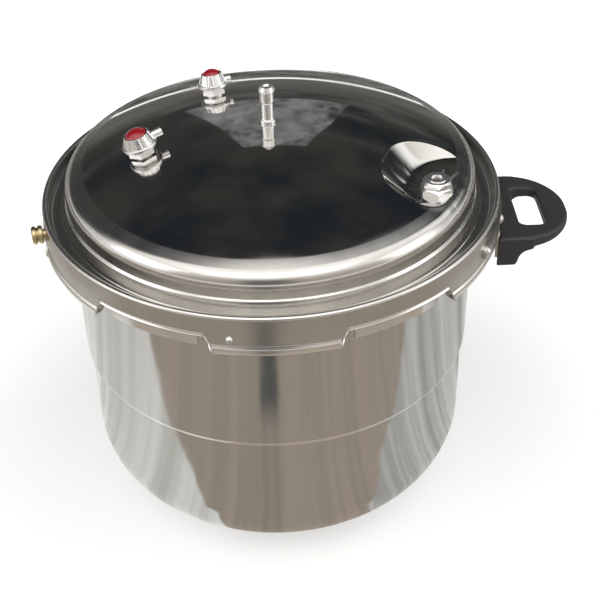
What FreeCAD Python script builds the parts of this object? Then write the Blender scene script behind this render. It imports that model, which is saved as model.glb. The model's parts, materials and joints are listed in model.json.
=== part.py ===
"""Stove-top pressure canner with a twist-lock outer lid, built as separate pieces.

Frame: millimetres, +Z up, origin at the centre of the underside of the base.
The lid handle points along +X and the front of the canner faces -Y.
The lid stands in its open position, a part turn short of locked.
"""
import FreeCAD, Part
import math
import os

V = FreeCAD.Vector
UP = V(0, 0, 1)
ORIGIN = V(0, 0, 0)

# ---------------------------------------------------------------- pot
POT_INNER_RADIUS = 150.0      # bore of the upper wall
POT_SHEET = 2.0
POT_HEIGHT = 240.5            # top of the rim above the ground
RIB_HEIGHT = 127.0            # where the wall steps in
RIB_STEP = 2.5                # how far the lower wall stands in
RIB_RISE = 3.0                # height that the step takes
RIB_BEND = 1.6
BOTTOM_CORNER = 48.0          # outer radius between wall and bottom
FLANGE_BEND = 3.0             # upper radius of the rim's bends
RIM_WIDTH = 6.5               # plain rim, wall to edge
LUG_COUNT = 6
LUG_REACH = 14.0              # wall to the outside of a lug
LUG_DROP = 11.5               # rim top to the lower edge of a lug
LUG_WIDTH_DEG = 23.6

# ---------------------------------------------------------------- heat-spreading base
BASE_RADIUS = 98.0
BASE_CORE_THICKNESS = 5.0
BASE_SKIN = 0.8
BASE_SKIN_GAP = 0.05

# ---------------------------------------------------------------- rack
RACK_MARGIN = 22.0            # pot wall to the edge of the plate
RACK_SHEET = 1.5
RACK_STAND = 16.0             # pot floor to the underside of the plate
RACK_FOOT_COUNT = 4
RACK_FOOT_RADIUS = 6.0
RACK_FOOT_INSET = 44.0        # edge of the plate to the feet
RACK_HOLE_RADIUS = 6.0
RACK_HOLE_PITCH = 26.0        # distance between rings of holes
RACK_HOLE_RINGS = 4
RACK_FOOT_GAP = 0.1

# ---------------------------------------------------------------- lid
LID_SHEET = 1.8
SKIRT_CLEARANCE = 2.2         # pot lug to the inside of the skirt
CREST_WIDTH = 5.0
CREST_RISE = 9.0              # channel floor to the top of the crest
CHANNEL_WIDTH = 8.5           # flat channel floor between crest and shoulder
CHANNEL_BEND = 2.2
SHOULDER_SLOPE = 3.3          # how far the foot of the shoulder spreads
SHOULDER_FOOT = 9.5           # height of the spreading foot
BEAD_STEP = 1.4               # small ledge above the foot
BEAD_BEND = 0.8
SHOULDER_ROLL = 12.0
SHOULDER_WALL = 18.075        # channel floor to the start of the roll
DOME_CROWN_RADIUS = 370.0
SKIRT_DEPTH = 16.5            # crest top to the skirt's edge between teeth
TOOTH_WIDTH_DEG = 32.6
TOOTH_TAPER = 8.0             # how far each end of a tooth slants in
TOOTH_STEP = 1.5              # how far a tooth's lip stands proud
TOOTH_LIP_HEIGHT = 8.5
TOOTH_LIP_BEND = 4.0
LOCK_CLEARANCE = 1.2          # lid tooth below the pot lug when locked
TOOTH_RIM_CLEARANCE = 1.0     # lid tooth to the plain rim of the pot
LOCK_TURN_DEG = 27.9          # turn from open to the stop

# ---------------------------------------------------------------- gasket
GASKET_HEIGHT = 5.6
GASKET_INSET = 1.5            # pot wall to the inside of the ring
GASKET_WIDTH = 8.5
GASKET_GAP = 0.3
GASKET_GROOVE = 4.0
GASKET_LIP = 1.6

# ---------------------------------------------------------------- recess for the relief valve
RECESS_SINK = 5.0             # dome at the relief valve to the recess floor
RECESS_DRAFT_DEG = 48.0
RELIEF_INSET = 21.9           # shoulder to the valve's axis
RELIEF_DEG = -26.3
RECESS_REAR = (15.5, 8.5, 32.0)        # x and y from the valve, radius of the floor's larger end
RECESS_FRONT = (-0.5, -2.5, 21.5)      # x and y from the valve, radius of the floor's smaller end
RECESS_TOP = 22.0             # how far the cutting tool rises

# ---------------------------------------------------------------- vent pipe
VENT_BORE_RADIUS = 1.6
VENT_STEM_RADIUS = 4.9
VENT_HEAD_RADIUS = 5.9
VENT_TIP_RADIUS = 4.3
VENT_BODY_RADIUS = 5.4
VENT_FLANGE_RADIUS = 6.2
VENT_FLANGE_HEIGHT = 2.5
VENT_HEIGHT = 28.0
VENT_HEAD_HEIGHT = 12.5
VENT_TAPER_HEIGHT = 3.0
VENT_SHANK_RADIUS = 4.0
VENT_SHANK_LENGTH = 12.0
STRAINER_RADIUS = 10.5
STRAINER_HEIGHT = 12.0
STRAINER_SHEET = 0.8
STRAINER_SLOTS = 8
STRAINER_SLOT_WIDTH = 3.0

# ---------------------------------------------------------------- safety valves
FRONT_VALVE_RADIUS = 92.0     # distance from the canner's axis
FRONT_VALVE_DEG = 191.7
FRONT_BUTTON_RADIUS = 7.75
FRONT_SPOUT_LENGTH = 5.2
FRONT_SPOUT_DEG = 22.0
REAR_VALVE_RADIUS = 70.0
REAR_VALVE_DEG = 124.5
REAR_BUTTON_RADIUS = 6.7
REAR_SPOUT_LENGTH = 2.0
REAR_SPOUT_DEG = 12.0
VALVE_NECK_RADIUS = 7.0
VALVE_NECK_HEIGHT = 1.2
VALVE_HEX_MARGIN = 0.2        # cap's upper radius to the flat of the hexagon
VALVE_HEX_HEIGHT = 5.3
VALVE_BOSS_HEIGHT = 5.5
VALVE_BOSS_RADIUS = 4.9
VALVE_FLANGE_HEIGHT = 3.0
VALVE_CONE_HEIGHT = 7.3
VALVE_CAP_LIP = 1.0           # cap rim outside the button
VALVE_CONE_SPREAD = 2.7       # how much wider the cone is at its foot
VALVE_FLANGE_SPREAD = 1.1
VALVE_FLUTE_COUNT = 12
VALVE_FLUTE_RADIUS = 1.6
VALVE_FLUTE_DEPTH = 0.45
VALVE_SPOUT_RADIUS = 3.1
VALVE_SPOUT_BORE = 1.2
BUTTON_CLEARANCE = 0.3
BUTTON_SKIRT = 4.0            # straight side of the button
BUTTON_CROWN = 3.4
BUTTON_TRAVEL = 3.0
BUTTON_FLOOR_GAP = 0.6
STEM_RADIUS = 1.6
STEM_CLEARANCE = 0.1
STEM_COLLAR_RADIUS = 3.7
STEM_COLLAR_HEIGHT = 1.5
SHANK_RADIUS = 4.0
SHANK_LENGTH = 10.0
VALVE_SPRING_RADIUS = 2.8
VALVE_SPRING_WIRE = 0.35      # radius of the wire
VALVE_SPRING_TURNS = 5
SPRING_SPARE = 0.2            # length left when a spring is fully pressed

# ---------------------------------------------------------------- relief valve
RELIEF_HEX_WIDTH = 21.0       # across flats
RELIEF_HEX_HEIGHT = 4.8
RELIEF_GROOVE_RADIUS = 8.6    # between the two hexagons
RELIEF_GROOVE_HEIGHT = 0.6
RELIEF_UPPER_WIDTH = 19.2     # upper hexagon across flats
RELIEF_UPPER_HEIGHT = 3.9
RELIEF_TUBE_RADIUS = 6.2
RELIEF_TUBE_HEIGHT = 0.7      # rim above the upper hexagon
RELIEF_CAVITY_RADIUS = 4.2
RELIEF_SHANK_RADIUS = 6.0
RELIEF_SHANK_LENGTH = 12.0
RELIEF_SEAT_HEIGHT = 4.0      # seat below the recess floor
RELIEF_INLET_RADIUS = 1.8
RELIEF_DISC_RADIUS = 3.8
RELIEF_DISC_HEIGHT = 2.4
RELIEF_STEM_RADIUS = 1.2
RELIEF_TRAVEL = 1.5
RELIEF_RETAINER_HEIGHT = 2.4
RELIEF_RETAINER_SINK = 1.2    # retainer below the top of the tube
RELIEF_STEM_CLEARANCE = 0.3
RELIEF_STEM_MARGIN = 0.2      # lifted stem below the top of the tube
RELIEF_SPRING_RADIUS = 2.9
RELIEF_SPRING_WIRE = 0.35
RELIEF_SPRING_TURNS = 5

# ---------------------------------------------------------------- fastenings under the lid
SEAL_THICKNESS = 1.8
SEAL_WIDTH = 4.0
SEAL_GAP = 0.1
UNDER_NUT_HEIGHT = 4.0
HOLE_CLEARANCE = 0.1
THREAD_CLEARANCE = 0.05
HEX_MARGIN = 3.0              # thread radius to the flat of an under nut

# ---------------------------------------------------------------- handle
HANDLE_WIDTH = 90.0
HANDLE_REACH = 55.2           # skirt to the tip of the loop
HANDLE_DROP = 9.0             # bracket's strap down to the top of the loop
HANDLE_FOOT_DEPTH = 25.0
HANDLE_FOOT_THICKNESS = 13.5
HANDLE_FOOT_TOE = 10.0        # thickness at the lower edge of the foot
HANDLE_LOOP_THICKNESS = 10.5
HANDLE_TIP_THICKNESS = 7.0
HANDLE_TIP_DROP = 1.5
HANDLE_CORNER = 41.0
HANDLE_THROAT = 9.0           # curve between foot and loop
GRIP_HOLE_WIDTH = 54.0
GRIP_HOLE_REACH = 18.5
GRIP_HOLE_CORNER = 9.0

# ---------------------------------------------------------------- bracket, rivets and screws
BRACKET_SHEET = 2.0
BRACKET_HEIGHT = 11.0
BRACKET_TAB_HALF_DEG = 12.0
BRACKET_TAB_DROP = 32.0
BRACKET_GAP = 0.1
BRACKET_SKIRT_MARGIN = 0.5    # bracket above the proud lip of a tooth
RIVET_DEGS = (-28.3, -13.5, 13.5, 28.3)
RIVET_RADIUS = 2.0
RIVET_HEAD_RADIUS = 3.9
RIVET_HEAD_HEIGHT = 2.3
RIVET_TAIL_HEIGHT = 0.8
SCREW_HALF_DEG = 5.5
SCREW_DROP = 14.0             # handle top to the screws
SCREW_RADIUS = 2.0
SCREW_LENGTH = 9.0
SCREW_HEAD_RADIUS = 3.8
SCREW_HEAD_HEIGHT = 1.6
STOP_RIVET_RADIUS = 1.9
STOP_RIVET_HEAD_RADIUS = 2.8
STOP_RIVET_HEAD_HEIGHT = 2.6
STOP_RIVET_REACH = 2.8        # how far it overlaps a pot lug
STOP_RIVET_DROP = 1.0         # rim top to the rivet's axis

# ---------------------------------------------------------------- side stud
STUD_DEG = 194.4
STUD_DROP = 12.5              # crest top to the stud's axis
STUD_NECK_RADIUS = 3.5
STUD_NECK_LENGTH = 1.6
STUD_RIDGE_RADIUS = 6.8
STUD_RIDGE_WIDTH = 3.8
STUD_WAIST_RADIUS = 5.4
STUD_WAIST_WIDTH = 0.8
STUD_SHANK_RADIUS = 2.5

# ---------------------------------------------------------------- derived places
FLOOR_Z = BASE_CORE_THICKNESS + BASE_SKIN + 2 * BASE_SKIN_GAP   # underside of the pot
POT_FLOOR_TOP = FLOOR_Z + POT_SHEET
POT_OUTER_RADIUS = POT_INNER_RADIUS + POT_SHEET
RIM_RADIUS = POT_OUTER_RADIUS + RIM_WIDTH
LUG_RADIUS = POT_OUTER_RADIUS + LUG_REACH
PITCH_DEG = 360.0 / LUG_COUNT
SKIRT_INNER_RADIUS = LUG_RADIUS + SKIRT_CLEARANCE
SKIRT_RADIUS = SKIRT_INNER_RADIUS + LID_SHEET
CHANNEL_Z = POT_HEIGHT + 2 * GASKET_GAP + GASKET_HEIGHT + LID_SHEET
CREST_Z = CHANNEL_Z + CREST_RISE
SKIRT_EDGE_Z = CREST_Z - SKIRT_DEPTH
TOOTH_BOTTOM_Z = POT_HEIGHT - LUG_DROP - LOCK_CLEARANCE - LID_SHEET
TOOTH_LIP_Z = TOOTH_BOTTOM_Z + TOOTH_LIP_HEIGHT
SHOULDER_RADIUS = SKIRT_RADIUS - CREST_WIDTH - CHANNEL_WIDTH - SHOULDER_SLOPE - BEAD_STEP
ROLL_CENTRE_RADIUS = SHOULDER_RADIUS - SHOULDER_ROLL
ROLL_CENTRE_Z = CHANNEL_Z + SHOULDER_WALL
DOME_CENTRE_Z = ROLL_CENTRE_Z - math.sqrt((DOME_CROWN_RADIUS - SHOULDER_ROLL) ** 2 - ROLL_CENTRE_RADIUS ** 2)
DOME_TOP_Z = DOME_CENTRE_Z + DOME_CROWN_RADIUS
RELIEF_RADIUS = SHOULDER_RADIUS - RELIEF_INSET
GAP_HALF_DEG = (PITCH_DEG - TOOTH_WIDTH_DEG) / 2
RACK_RADIUS = POT_INNER_RADIUS - RACK_MARGIN
RACK_FOOT_CIRCLE = RACK_RADIUS - RACK_FOOT_INSET
GASKET_INNER_RADIUS = POT_OUTER_RADIUS + GASKET_INSET
HANDLE_TOP = TOOTH_LIP_Z + BRACKET_SKIRT_MARGIN - HANDLE_DROP


# ---------------------------------------------------------------- shape helpers
def polar(radius, degrees, height):
    angle = math.radians(degrees)
    return V(radius * math.cos(angle), radius * math.sin(angle), height)


def turned(shape, degrees):
    copy = shape.copy()
    copy.rotate(ORIGIN, UP, degrees)
    return copy


def bent_line(points):
    """Edges through (r, z, bend radius) points of the XZ plane, with each bend as an arc."""
    edges = []
    start = V(points[0][0], 0, points[0][1])
    for i in range(1, len(points) - 1):
        corner = V(points[i][0], 0, points[i][1])
        bend = points[i][2]
        back = (V(points[i - 1][0], 0, points[i - 1][1]) - corner).normalize()
        ahead = (V(points[i + 1][0], 0, points[i + 1][1]) - corner).normalize()
        end = corner
        if bend > 0:
            half = back.getAngle(ahead) / 2
            reach = bend / math.tan(half)
            end = corner + back * reach
            leave = corner + ahead * reach
            middle = (back + ahead).normalize()
            crown = corner + middle * (bend / math.sin(half) - bend)
            edges.append(Part.LineSegment(start, end).toShape())
            edges.append(Part.Arc(end, crown, leave).toShape())
            start = leave
        else:
            edges.append(Part.LineSegment(start, end).toShape())
            start = end
    last = V(points[-1][0], 0, points[-1][1])
    edges.append(Part.LineSegment(start, last).toShape())
    return edges


def revolved(edges, degrees=360.0):
    face = Part.Face(Part.Wire(edges))
    return face.revolve(ORIGIN, UP, degrees)


def lathe(points):
    """Solid of revolution about Z from a closed outline of (r, z) or (r, z, bend) points."""
    outline = [(p[0], p[1], p[2] if len(p) > 2 else 0) for p in points]
    outline.append((points[0][0], points[0][1], 0))
    return revolved(bent_line(outline))


def pressed_sheet(edges, thickness):
    """Sheet of even thickness on one side of an open outline, turned about Z."""
    face = Part.Wire(edges).makeOffset2D(thickness, 0, True, True, False)
    return face.revolve(ORIGIN, UP, 360.0)


def ring(inner, outer, bottom, top):
    tube = Part.makeCylinder(outer, top - bottom, V(0, 0, bottom))
    return tube.cut(Part.makeCylinder(inner, top - bottom, V(0, 0, bottom)))


def ring_sector(inner, outer, bottom, top, half_degrees):
    outline = [V(inner, 0, bottom), V(outer, 0, bottom), V(outer, 0, top), V(inner, 0, top)]
    face = Part.Face(Part.makePolygon(outline + outline[:1]))
    sector = face.revolve(ORIGIN, UP, 2 * half_degrees)
    return turned(sector, -half_degrees)


def hexagon(width, bottom, top):
    """Hexagonal bar of the given width across flats."""
    corner = width / math.sqrt(3)
    points = [polar(corner, 60 * i + 30, bottom) for i in range(7)]
    bar = Part.Face(Part.makePolygon(points)).extrude(V(0, 0, top - bottom))
    rounding = lathe([(0, bottom), (corner, bottom), (corner, top - 0.12 * width),
                      (0.46 * width, top), (0, top)])
    return bar.common(rounding)


def spring(radius, wire, turns, bottom, top):
    """Open coil whose wire lies between the two heights."""
    rise = top - bottom - 2 * wire
    pitch = rise / turns
    path = Part.makeHelix(pitch, rise, radius)
    along = V(0, 2 * math.pi * radius, pitch)
    section = Part.Wire(Part.makeCircle(wire, V(radius, 0, 0), along))
    coil = Part.Wire(path).makePipeShell([section], True, False)
    coil.translate(V(0, 0, bottom + wire))
    return coil


def along_radius(shape, degrees, height):
    """Stand a shape built along +Z so that +Z points outward at the given side."""
    copy = shape.copy()
    copy.rotate(ORIGIN, V(0, 1, 0), 90)
    copy.translate(V(0, 0, height))
    return turned(copy, degrees)


def dome_height(radius):
    return DOME_CENTRE_Z + math.sqrt(DOME_CROWN_RADIUS ** 2 - radius ** 2)


RECESS_Z = dome_height(RELIEF_RADIUS) - RECESS_SINK
RELIEF_FOOT = polar(RELIEF_RADIUS, RELIEF_DEG, RECESS_Z)


def on_dome(shape, radius, degrees):
    """Stand a shape built along +Z square on the dome, its origin at the surface."""
    foot = polar(radius, degrees, dome_height(radius))
    normal = (foot - V(0, 0, DOME_CENTRE_Z)).normalize()
    copy = shape.copy()
    copy.Placement = FreeCAD.Placement(foot, FreeCAD.Rotation(UP, normal)).multiply(copy.Placement)
    return copy


def write(name, shape):
    shape.exportStep(os.path.join("parts", name + ".step"))


# ---------------------------------------------------------------- pot
def pot_body():
    lower = POT_OUTER_RADIUS - RIB_STEP
    rim_under = POT_HEIGHT - POT_SHEET
    edge = LUG_RADIUS - POT_SHEET
    inside_bend = FLANGE_BEND - POT_SHEET
    outline = bent_line([
        (0, FLOOR_Z, 0),
        (lower, FLOOR_Z, BOTTOM_CORNER),
        (lower, RIB_HEIGHT, RIB_BEND),
        (POT_OUTER_RADIUS, RIB_HEIGHT + RIB_RISE, RIB_BEND),
        (POT_OUTER_RADIUS, rim_under, FLANGE_BEND),
        (edge, rim_under, inside_bend),
        (edge, POT_HEIGHT - LUG_DROP, 0)])
    body = pressed_sheet(outline, POT_SHEET)
    slot_half = (PITCH_DEG - LUG_WIDTH_DEG) / 2
    slot = ring_sector(RIM_RADIUS, LUG_RADIUS + 1, POT_HEIGHT - LUG_DROP - 1, POT_HEIGHT + 1, slot_half)
    for i in range(LUG_COUNT):
        body = body.cut(turned(slot, (i + 0.5) * PITCH_DEG))
    return body


def base_core():
    bottom = BASE_SKIN + BASE_SKIN_GAP
    core = Part.makeCylinder(BASE_RADIUS - BASE_SKIN - BASE_SKIN_GAP, BASE_CORE_THICKNESS, V(0, 0, bottom))
    return core


def base_cap():
    top = FLOOR_Z
    cup = lathe([(0, 0), (BASE_RADIUS, 0, 1.5), (BASE_RADIUS, top), (0, top)])
    hollow = Part.makeCylinder(BASE_RADIUS - BASE_SKIN, top, V(0, 0, BASE_SKIN))
    return cup.cut(hollow)


def rack():
    bottom = POT_FLOOR_TOP + RACK_STAND
    plate = Part.makeCylinder(RACK_RADIUS, RACK_SHEET, V(0, 0, bottom))
    foot_bottom = POT_FLOOR_TOP + RACK_FOOT_GAP
    foot = Part.makeCylinder(RACK_FOOT_RADIUS, bottom - foot_bottom + RACK_SHEET / 2,
                             V(RACK_FOOT_CIRCLE, 0, foot_bottom))
    plate = plate.fuse([turned(foot, 360.0 * i / RACK_FOOT_COUNT + 45) for i in range(RACK_FOOT_COUNT)])
    hole = Part.makeCylinder(RACK_HOLE_RADIUS, 2 * RACK_SHEET, V(0, 0, bottom - RACK_SHEET / 2))
    holes = [hole.copy()]
    for ring_index in range(1, RACK_HOLE_RINGS + 1):
        count = 6 * ring_index
        for i in range(count):
            copy = hole.copy()
            copy.translate(V(RACK_HOLE_PITCH * ring_index, 0, 0))
            holes.append(turned(copy, 360.0 * i / count))
    feet = [polar(RACK_FOOT_CIRCLE, 360.0 * i / RACK_FOOT_COUNT + 45, 0) for i in range(RACK_FOOT_COUNT)]
    room = RACK_FOOT_RADIUS + RACK_HOLE_RADIUS + 1

    def clear_of_feet(cutter):
        centre = cutter.CenterOfMass
        return all(math.hypot(centre.x - f.x, centre.y - f.y) > room for f in feet)

    return plate.cut([h for h in holes if clear_of_feet(h)])


# ---------------------------------------------------------------- gasket
def lid_gasket():
    bottom = POT_HEIGHT + GASKET_GAP
    top = bottom + GASKET_HEIGHT
    outer = GASKET_INNER_RADIUS + GASKET_WIDTH
    middle = (bottom + top) / 2
    return lathe([
        (GASKET_INNER_RADIUS, bottom),
        (outer, bottom, 0.8),
        (outer, top, 0.8),
        (GASKET_INNER_RADIUS, top),
        (GASKET_INNER_RADIUS, top - GASKET_LIP),
        (GASKET_INNER_RADIUS + GASKET_GROOVE, middle, 0.3),
        (GASKET_INNER_RADIUS, bottom + GASKET_LIP)])


# ---------------------------------------------------------------- lid
def dome_edges():
    """Outline of the dome's outside, from the axis to the top of the shoulder's wall."""
    lean = math.asin(ROLL_CENTRE_RADIUS / (DOME_CROWN_RADIUS - SHOULDER_ROLL))
    meet = V(DOME_CROWN_RADIUS * math.sin(lean), 0, DOME_CENTRE_Z + DOME_CROWN_RADIUS * math.cos(lean))
    half = lean / 2
    middle = V(DOME_CROWN_RADIUS * math.sin(half), 0, DOME_CENTRE_Z + DOME_CROWN_RADIUS * math.cos(half))
    crown = Part.Arc(V(0, 0, DOME_TOP_Z), middle, meet).toShape()
    between = (lean + math.pi / 2) / 2
    bulge = V(ROLL_CENTRE_RADIUS + SHOULDER_ROLL * math.sin(between), 0,
              ROLL_CENTRE_Z + SHOULDER_ROLL * math.cos(between))
    wall_top = V(SHOULDER_RADIUS, 0, ROLL_CENTRE_Z)
    return [crown, Part.Arc(meet, bulge, wall_top).toShape()]


def dome_block():
    """Solid under the outside of the dome, down to the foot of its wall."""
    edges = dome_edges()
    foot = CHANNEL_Z + SHOULDER_FOOT
    corners = [V(SHOULDER_RADIUS, 0, ROLL_CENTRE_Z), V(SHOULDER_RADIUS, 0, foot), V(0, 0, foot), V(0, 0, DOME_TOP_Z)]
    closing = [Part.LineSegment(corners[i], corners[i + 1]).toShape() for i in range(3)]
    return revolved(edges + closing)


def lid_blank():
    """The whole pressing before the recess, the holes and the gaps between the teeth."""
    edges = dome_edges()
    foot_radius = SHOULDER_RADIUS + BEAD_STEP
    crest_radius = CREST_WIDTH / 2
    channel_outer = SKIRT_RADIUS - CREST_WIDTH
    lip_radius = SKIRT_RADIUS + TOOTH_STEP
    bead_z = CHANNEL_Z + SHOULDER_FOOT
    edges = edges + bent_line([
        (SHOULDER_RADIUS, ROLL_CENTRE_Z, 0),
        (SHOULDER_RADIUS, bead_z + BEAD_STEP, BEAD_BEND),
        (foot_radius, bead_z, LID_SHEET + BEAD_BEND),
        (foot_radius + SHOULDER_SLOPE, CHANNEL_Z, CHANNEL_BEND),
        (channel_outer, CHANNEL_Z, CHANNEL_BEND),
        (channel_outer, CREST_Z, crest_radius - 0.01),
        (SKIRT_RADIUS, CREST_Z, crest_radius - 0.01),
        (SKIRT_RADIUS, TOOTH_LIP_Z, 0.6),
        (lip_radius, TOOTH_LIP_Z - TOOTH_STEP, LID_SHEET + 0.6),
        (lip_radius, TOOTH_BOTTOM_Z, TOOTH_LIP_BEND),
        (RIM_RADIUS + TOOTH_RIM_CLEARANCE, TOOTH_BOTTOM_Z, 0)])
    return pressed_sheet(edges, -LID_SHEET)


def rounded_outline(ends, grow, height):
    """Wire around circles given as (x, y, radius) from the relief valve, joined by tangent lines."""
    rings = [(V(RELIEF_FOOT.x + x, RELIEF_FOOT.y + y, height), radius + grow) for x, y, radius in ends]
    sides = []
    for i in range(len(rings)):
        here, here_radius = rings[i]
        there, there_radius = rings[(i + 1) % len(rings)]
        span = there - here
        tilt = math.acos((here_radius - there_radius) / span.Length)
        sides.append(math.atan2(span.y, span.x) - tilt)
    edges = []
    for i in range(len(rings)):
        here, here_radius = rings[i]
        there, there_radius = rings[(i + 1) % len(rings)]
        turn = (sides[i] - sides[i - 1]) % (2 * math.pi)
        angles = [sides[i - 1], sides[i - 1] + turn / 2, sides[i]]
        reach = [here + V(math.cos(a), math.sin(a), 0) * here_radius for a in angles]
        edges.append(Part.Arc(reach[0], reach[1], reach[2]).toShape())
        beside = there + V(math.cos(sides[i]), math.sin(sides[i]), 0) * there_radius
        edges.append(Part.LineSegment(reach[2], beside).toShape())
    return Part.Wire(edges)


def recess_tool(drop):
    """Drafted tool for the recess; drop makes the larger one for the underside."""
    ends = [RECESS_FRONT, RECESS_REAR]
    spread = math.tan(math.radians(RECESS_DRAFT_DEG))
    wall = drop / math.cos(math.radians(RECESS_DRAFT_DEG))
    low = rounded_outline(ends, wall - drop * spread, RECESS_Z - drop)
    high = rounded_outline(ends, wall + RECESS_TOP * spread, RECESS_Z + RECESS_TOP)
    return Part.makeLoft([low, high], True, True)


def gap_cutter():
    """Radial punch that leaves the slanted ends of the teeth."""
    top_half = SKIRT_RADIUS * math.sin(math.radians(GAP_HALF_DEG))
    bottom_half = top_half + TOOTH_TAPER
    inner = RIM_RADIUS - 2
    low = TOOTH_BOTTOM_Z - 1
    outline = [V(inner, -bottom_half, low), V(inner, bottom_half, low),
               V(inner, bottom_half, TOOTH_BOTTOM_Z), V(inner, top_half, SKIRT_EDGE_Z),
               V(inner, -top_half, SKIRT_EDGE_Z), V(inner, -bottom_half, TOOTH_BOTTOM_Z)]
    face = Part.Face(Part.makePolygon(outline + outline[:1]))
    return face.extrude(V(SKIRT_RADIUS + TOOTH_STEP + 2 - inner, 0, 0))


def lid_shell():
    blank = lid_blank()
    tool = recess_tool(0)
    pan = recess_tool(LID_SHEET).common(dome_block()).cut(tool)
    shell = blank.cut(tool).fuse(pan).removeSplitter()
    punch = gap_cutter()
    for i in range(LUG_COUNT):
        shell = shell.cut(turned(punch, i * PITCH_DEG))
    vent_hole = Part.makeCylinder(VENT_SHANK_RADIUS + HOLE_CLEARANCE, 20, V(0, 0, DOME_TOP_Z - 10))
    relief_hole = Part.makeCylinder(RELIEF_SHANK_RADIUS + HOLE_CLEARANCE, 20, RELIEF_FOOT - 10 * UP)
    valve_hole = Part.makeCylinder(SHANK_RADIUS + HOLE_CLEARANCE, 20, V(0, 0, -10))
    rivet_hole = Part.makeCylinder(RIVET_RADIUS + HOLE_CLEARANCE, 8, V(0, 0, SKIRT_INNER_RADIUS - 4))
    stop_hole = Part.makeCylinder(STOP_RIVET_RADIUS + HOLE_CLEARANCE, 8, V(0, 0, SKIRT_INNER_RADIUS - 4))
    stud_hole = Part.makeCylinder(STUD_SHANK_RADIUS + HOLE_CLEARANCE, 8, V(0, 0, SKIRT_INNER_RADIUS - 4))
    holes = [vent_hole, relief_hole,
             on_dome(valve_hole, FRONT_VALVE_RADIUS, FRONT_VALVE_DEG),
             on_dome(valve_hole, REAR_VALVE_RADIUS, REAR_VALVE_DEG),
             along_radius(stop_hole, stop_degrees(), POT_HEIGHT - STOP_RIVET_DROP),
             along_radius(stud_hole, STUD_DEG, CREST_Z - STUD_DROP)]
    holes += [along_radius(rivet_hole, d, bracket_middle()) for d in RIVET_DEGS]
    return shell.cut(holes)


# ---------------------------------------------------------------- fastenings under the lid
def under_seal(shank_radius, top):
    inner = shank_radius + HOLE_CLEARANCE
    return ring(inner, inner + SEAL_WIDTH, top - SEAL_THICKNESS, top)


def under_nut(shank_radius, top):
    nut = hexagon(2 * (shank_radius + HEX_MARGIN), top - UNDER_NUT_HEIGHT, top)
    bore = Part.makeCylinder(shank_radius + THREAD_CLEARANCE, UNDER_NUT_HEIGHT, V(0, 0, top - UNDER_NUT_HEIGHT))
    return nut.cut(bore)


SEAL_TOP = -LID_SHEET - SEAL_GAP
NUT_TOP = SEAL_TOP - SEAL_THICKNESS - THREAD_CLEARANCE


# ---------------------------------------------------------------- vent pipe
def vent_pipe():
    head_bottom = VENT_HEIGHT - VENT_HEAD_HEIGHT
    pipe = lathe([
        (0, -VENT_SHANK_LENGTH), (VENT_SHANK_RADIUS, -VENT_SHANK_LENGTH),
        (VENT_SHANK_RADIUS, 0), (VENT_FLANGE_RADIUS, 0),
        (VENT_FLANGE_RADIUS, VENT_FLANGE_HEIGHT, 0.6), (VENT_STEM_RADIUS, VENT_FLANGE_HEIGHT, 0.6),
        (VENT_STEM_RADIUS, head_bottom), (VENT_BODY_RADIUS, head_bottom + 1.0),
        (VENT_BODY_RADIUS, VENT_HEIGHT - VENT_TAPER_HEIGHT - 0.6),
        (VENT_HEAD_RADIUS, VENT_HEIGHT - VENT_TAPER_HEIGHT),
        (VENT_TIP_RADIUS, VENT_HEIGHT), (0, VENT_HEIGHT)])
    bore = Part.makeCylinder(VENT_BORE_RADIUS, VENT_HEIGHT + VENT_SHANK_LENGTH, V(0, 0, -VENT_SHANK_LENGTH))
    flare = Part.makeCone(VENT_BORE_RADIUS, VENT_BORE_RADIUS + 1.2, 1.2, V(0, 0, VENT_HEIGHT - 1.2))
    return pipe.cut([bore, flare])


def vent_strainer():
    """Slotted cup that keeps food out of the vent pipe, screwed on the shank below the nut."""
    top = NUT_TOP - UNDER_NUT_HEIGHT - 0.2
    bottom = top - STRAINER_HEIGHT
    cup = lathe([(0, bottom), (STRAINER_RADIUS, bottom, 2.0), (STRAINER_RADIUS, top, 0.5), (0, top)])
    hollow = lathe([(0, bottom + STRAINER_SHEET), (STRAINER_RADIUS - STRAINER_SHEET, bottom + STRAINER_SHEET, 1.2),
                    (STRAINER_RADIUS - STRAINER_SHEET, top - STRAINER_SHEET), (0, top - STRAINER_SHEET)])
    bore = Part.makeCylinder(VENT_SHANK_RADIUS + THREAD_CLEARANCE, 2 * STRAINER_SHEET,
                             V(0, 0, top - 1.5 * STRAINER_SHEET))
    slot = Part.makeBox(STRAINER_RADIUS, STRAINER_SLOT_WIDTH, STRAINER_HEIGHT - 5.0,
                        V(STRAINER_RADIUS / 2, -STRAINER_SLOT_WIDTH / 2, bottom + 2.5))
    slots = [turned(slot, 360.0 * i / STRAINER_SLOTS) for i in range(STRAINER_SLOTS)]
    return cup.cut([hollow, bore] + slots)


def write_vent():
    pieces = {
        "vent_pipe": vent_pipe(),
        "vent_seal": under_seal(VENT_SHANK_RADIUS, SEAL_TOP),
        "vent_nut": under_nut(VENT_SHANK_RADIUS, NUT_TOP),
        "vent_strainer": vent_strainer()}
    for name, piece in pieces.items():
        write(name, on_dome(piece, 0, 0))


# ---------------------------------------------------------------- safety valves
HEX_TOP = VALVE_NECK_HEIGHT + VALVE_HEX_HEIGHT
BOSS_TOP = HEX_TOP + VALVE_BOSS_HEIGHT
CONE_BOTTOM = HEX_TOP + VALVE_FLANGE_HEIGHT
CONE_TOP = CONE_BOTTOM + VALVE_CONE_HEIGHT
BUTTON_BOTTOM = BOSS_TOP + BUTTON_FLOOR_GAP
STEM_TOP = BUTTON_BOTTOM + BUTTON_SKIRT / 2
PRESSED_SPRING = 2 * VALVE_SPRING_WIRE * (VALVE_SPRING_TURNS + 1) + SPRING_SPARE
COLLAR_TOP = -SHANK_LENGTH - BUTTON_TRAVEL - PRESSED_SPRING


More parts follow.
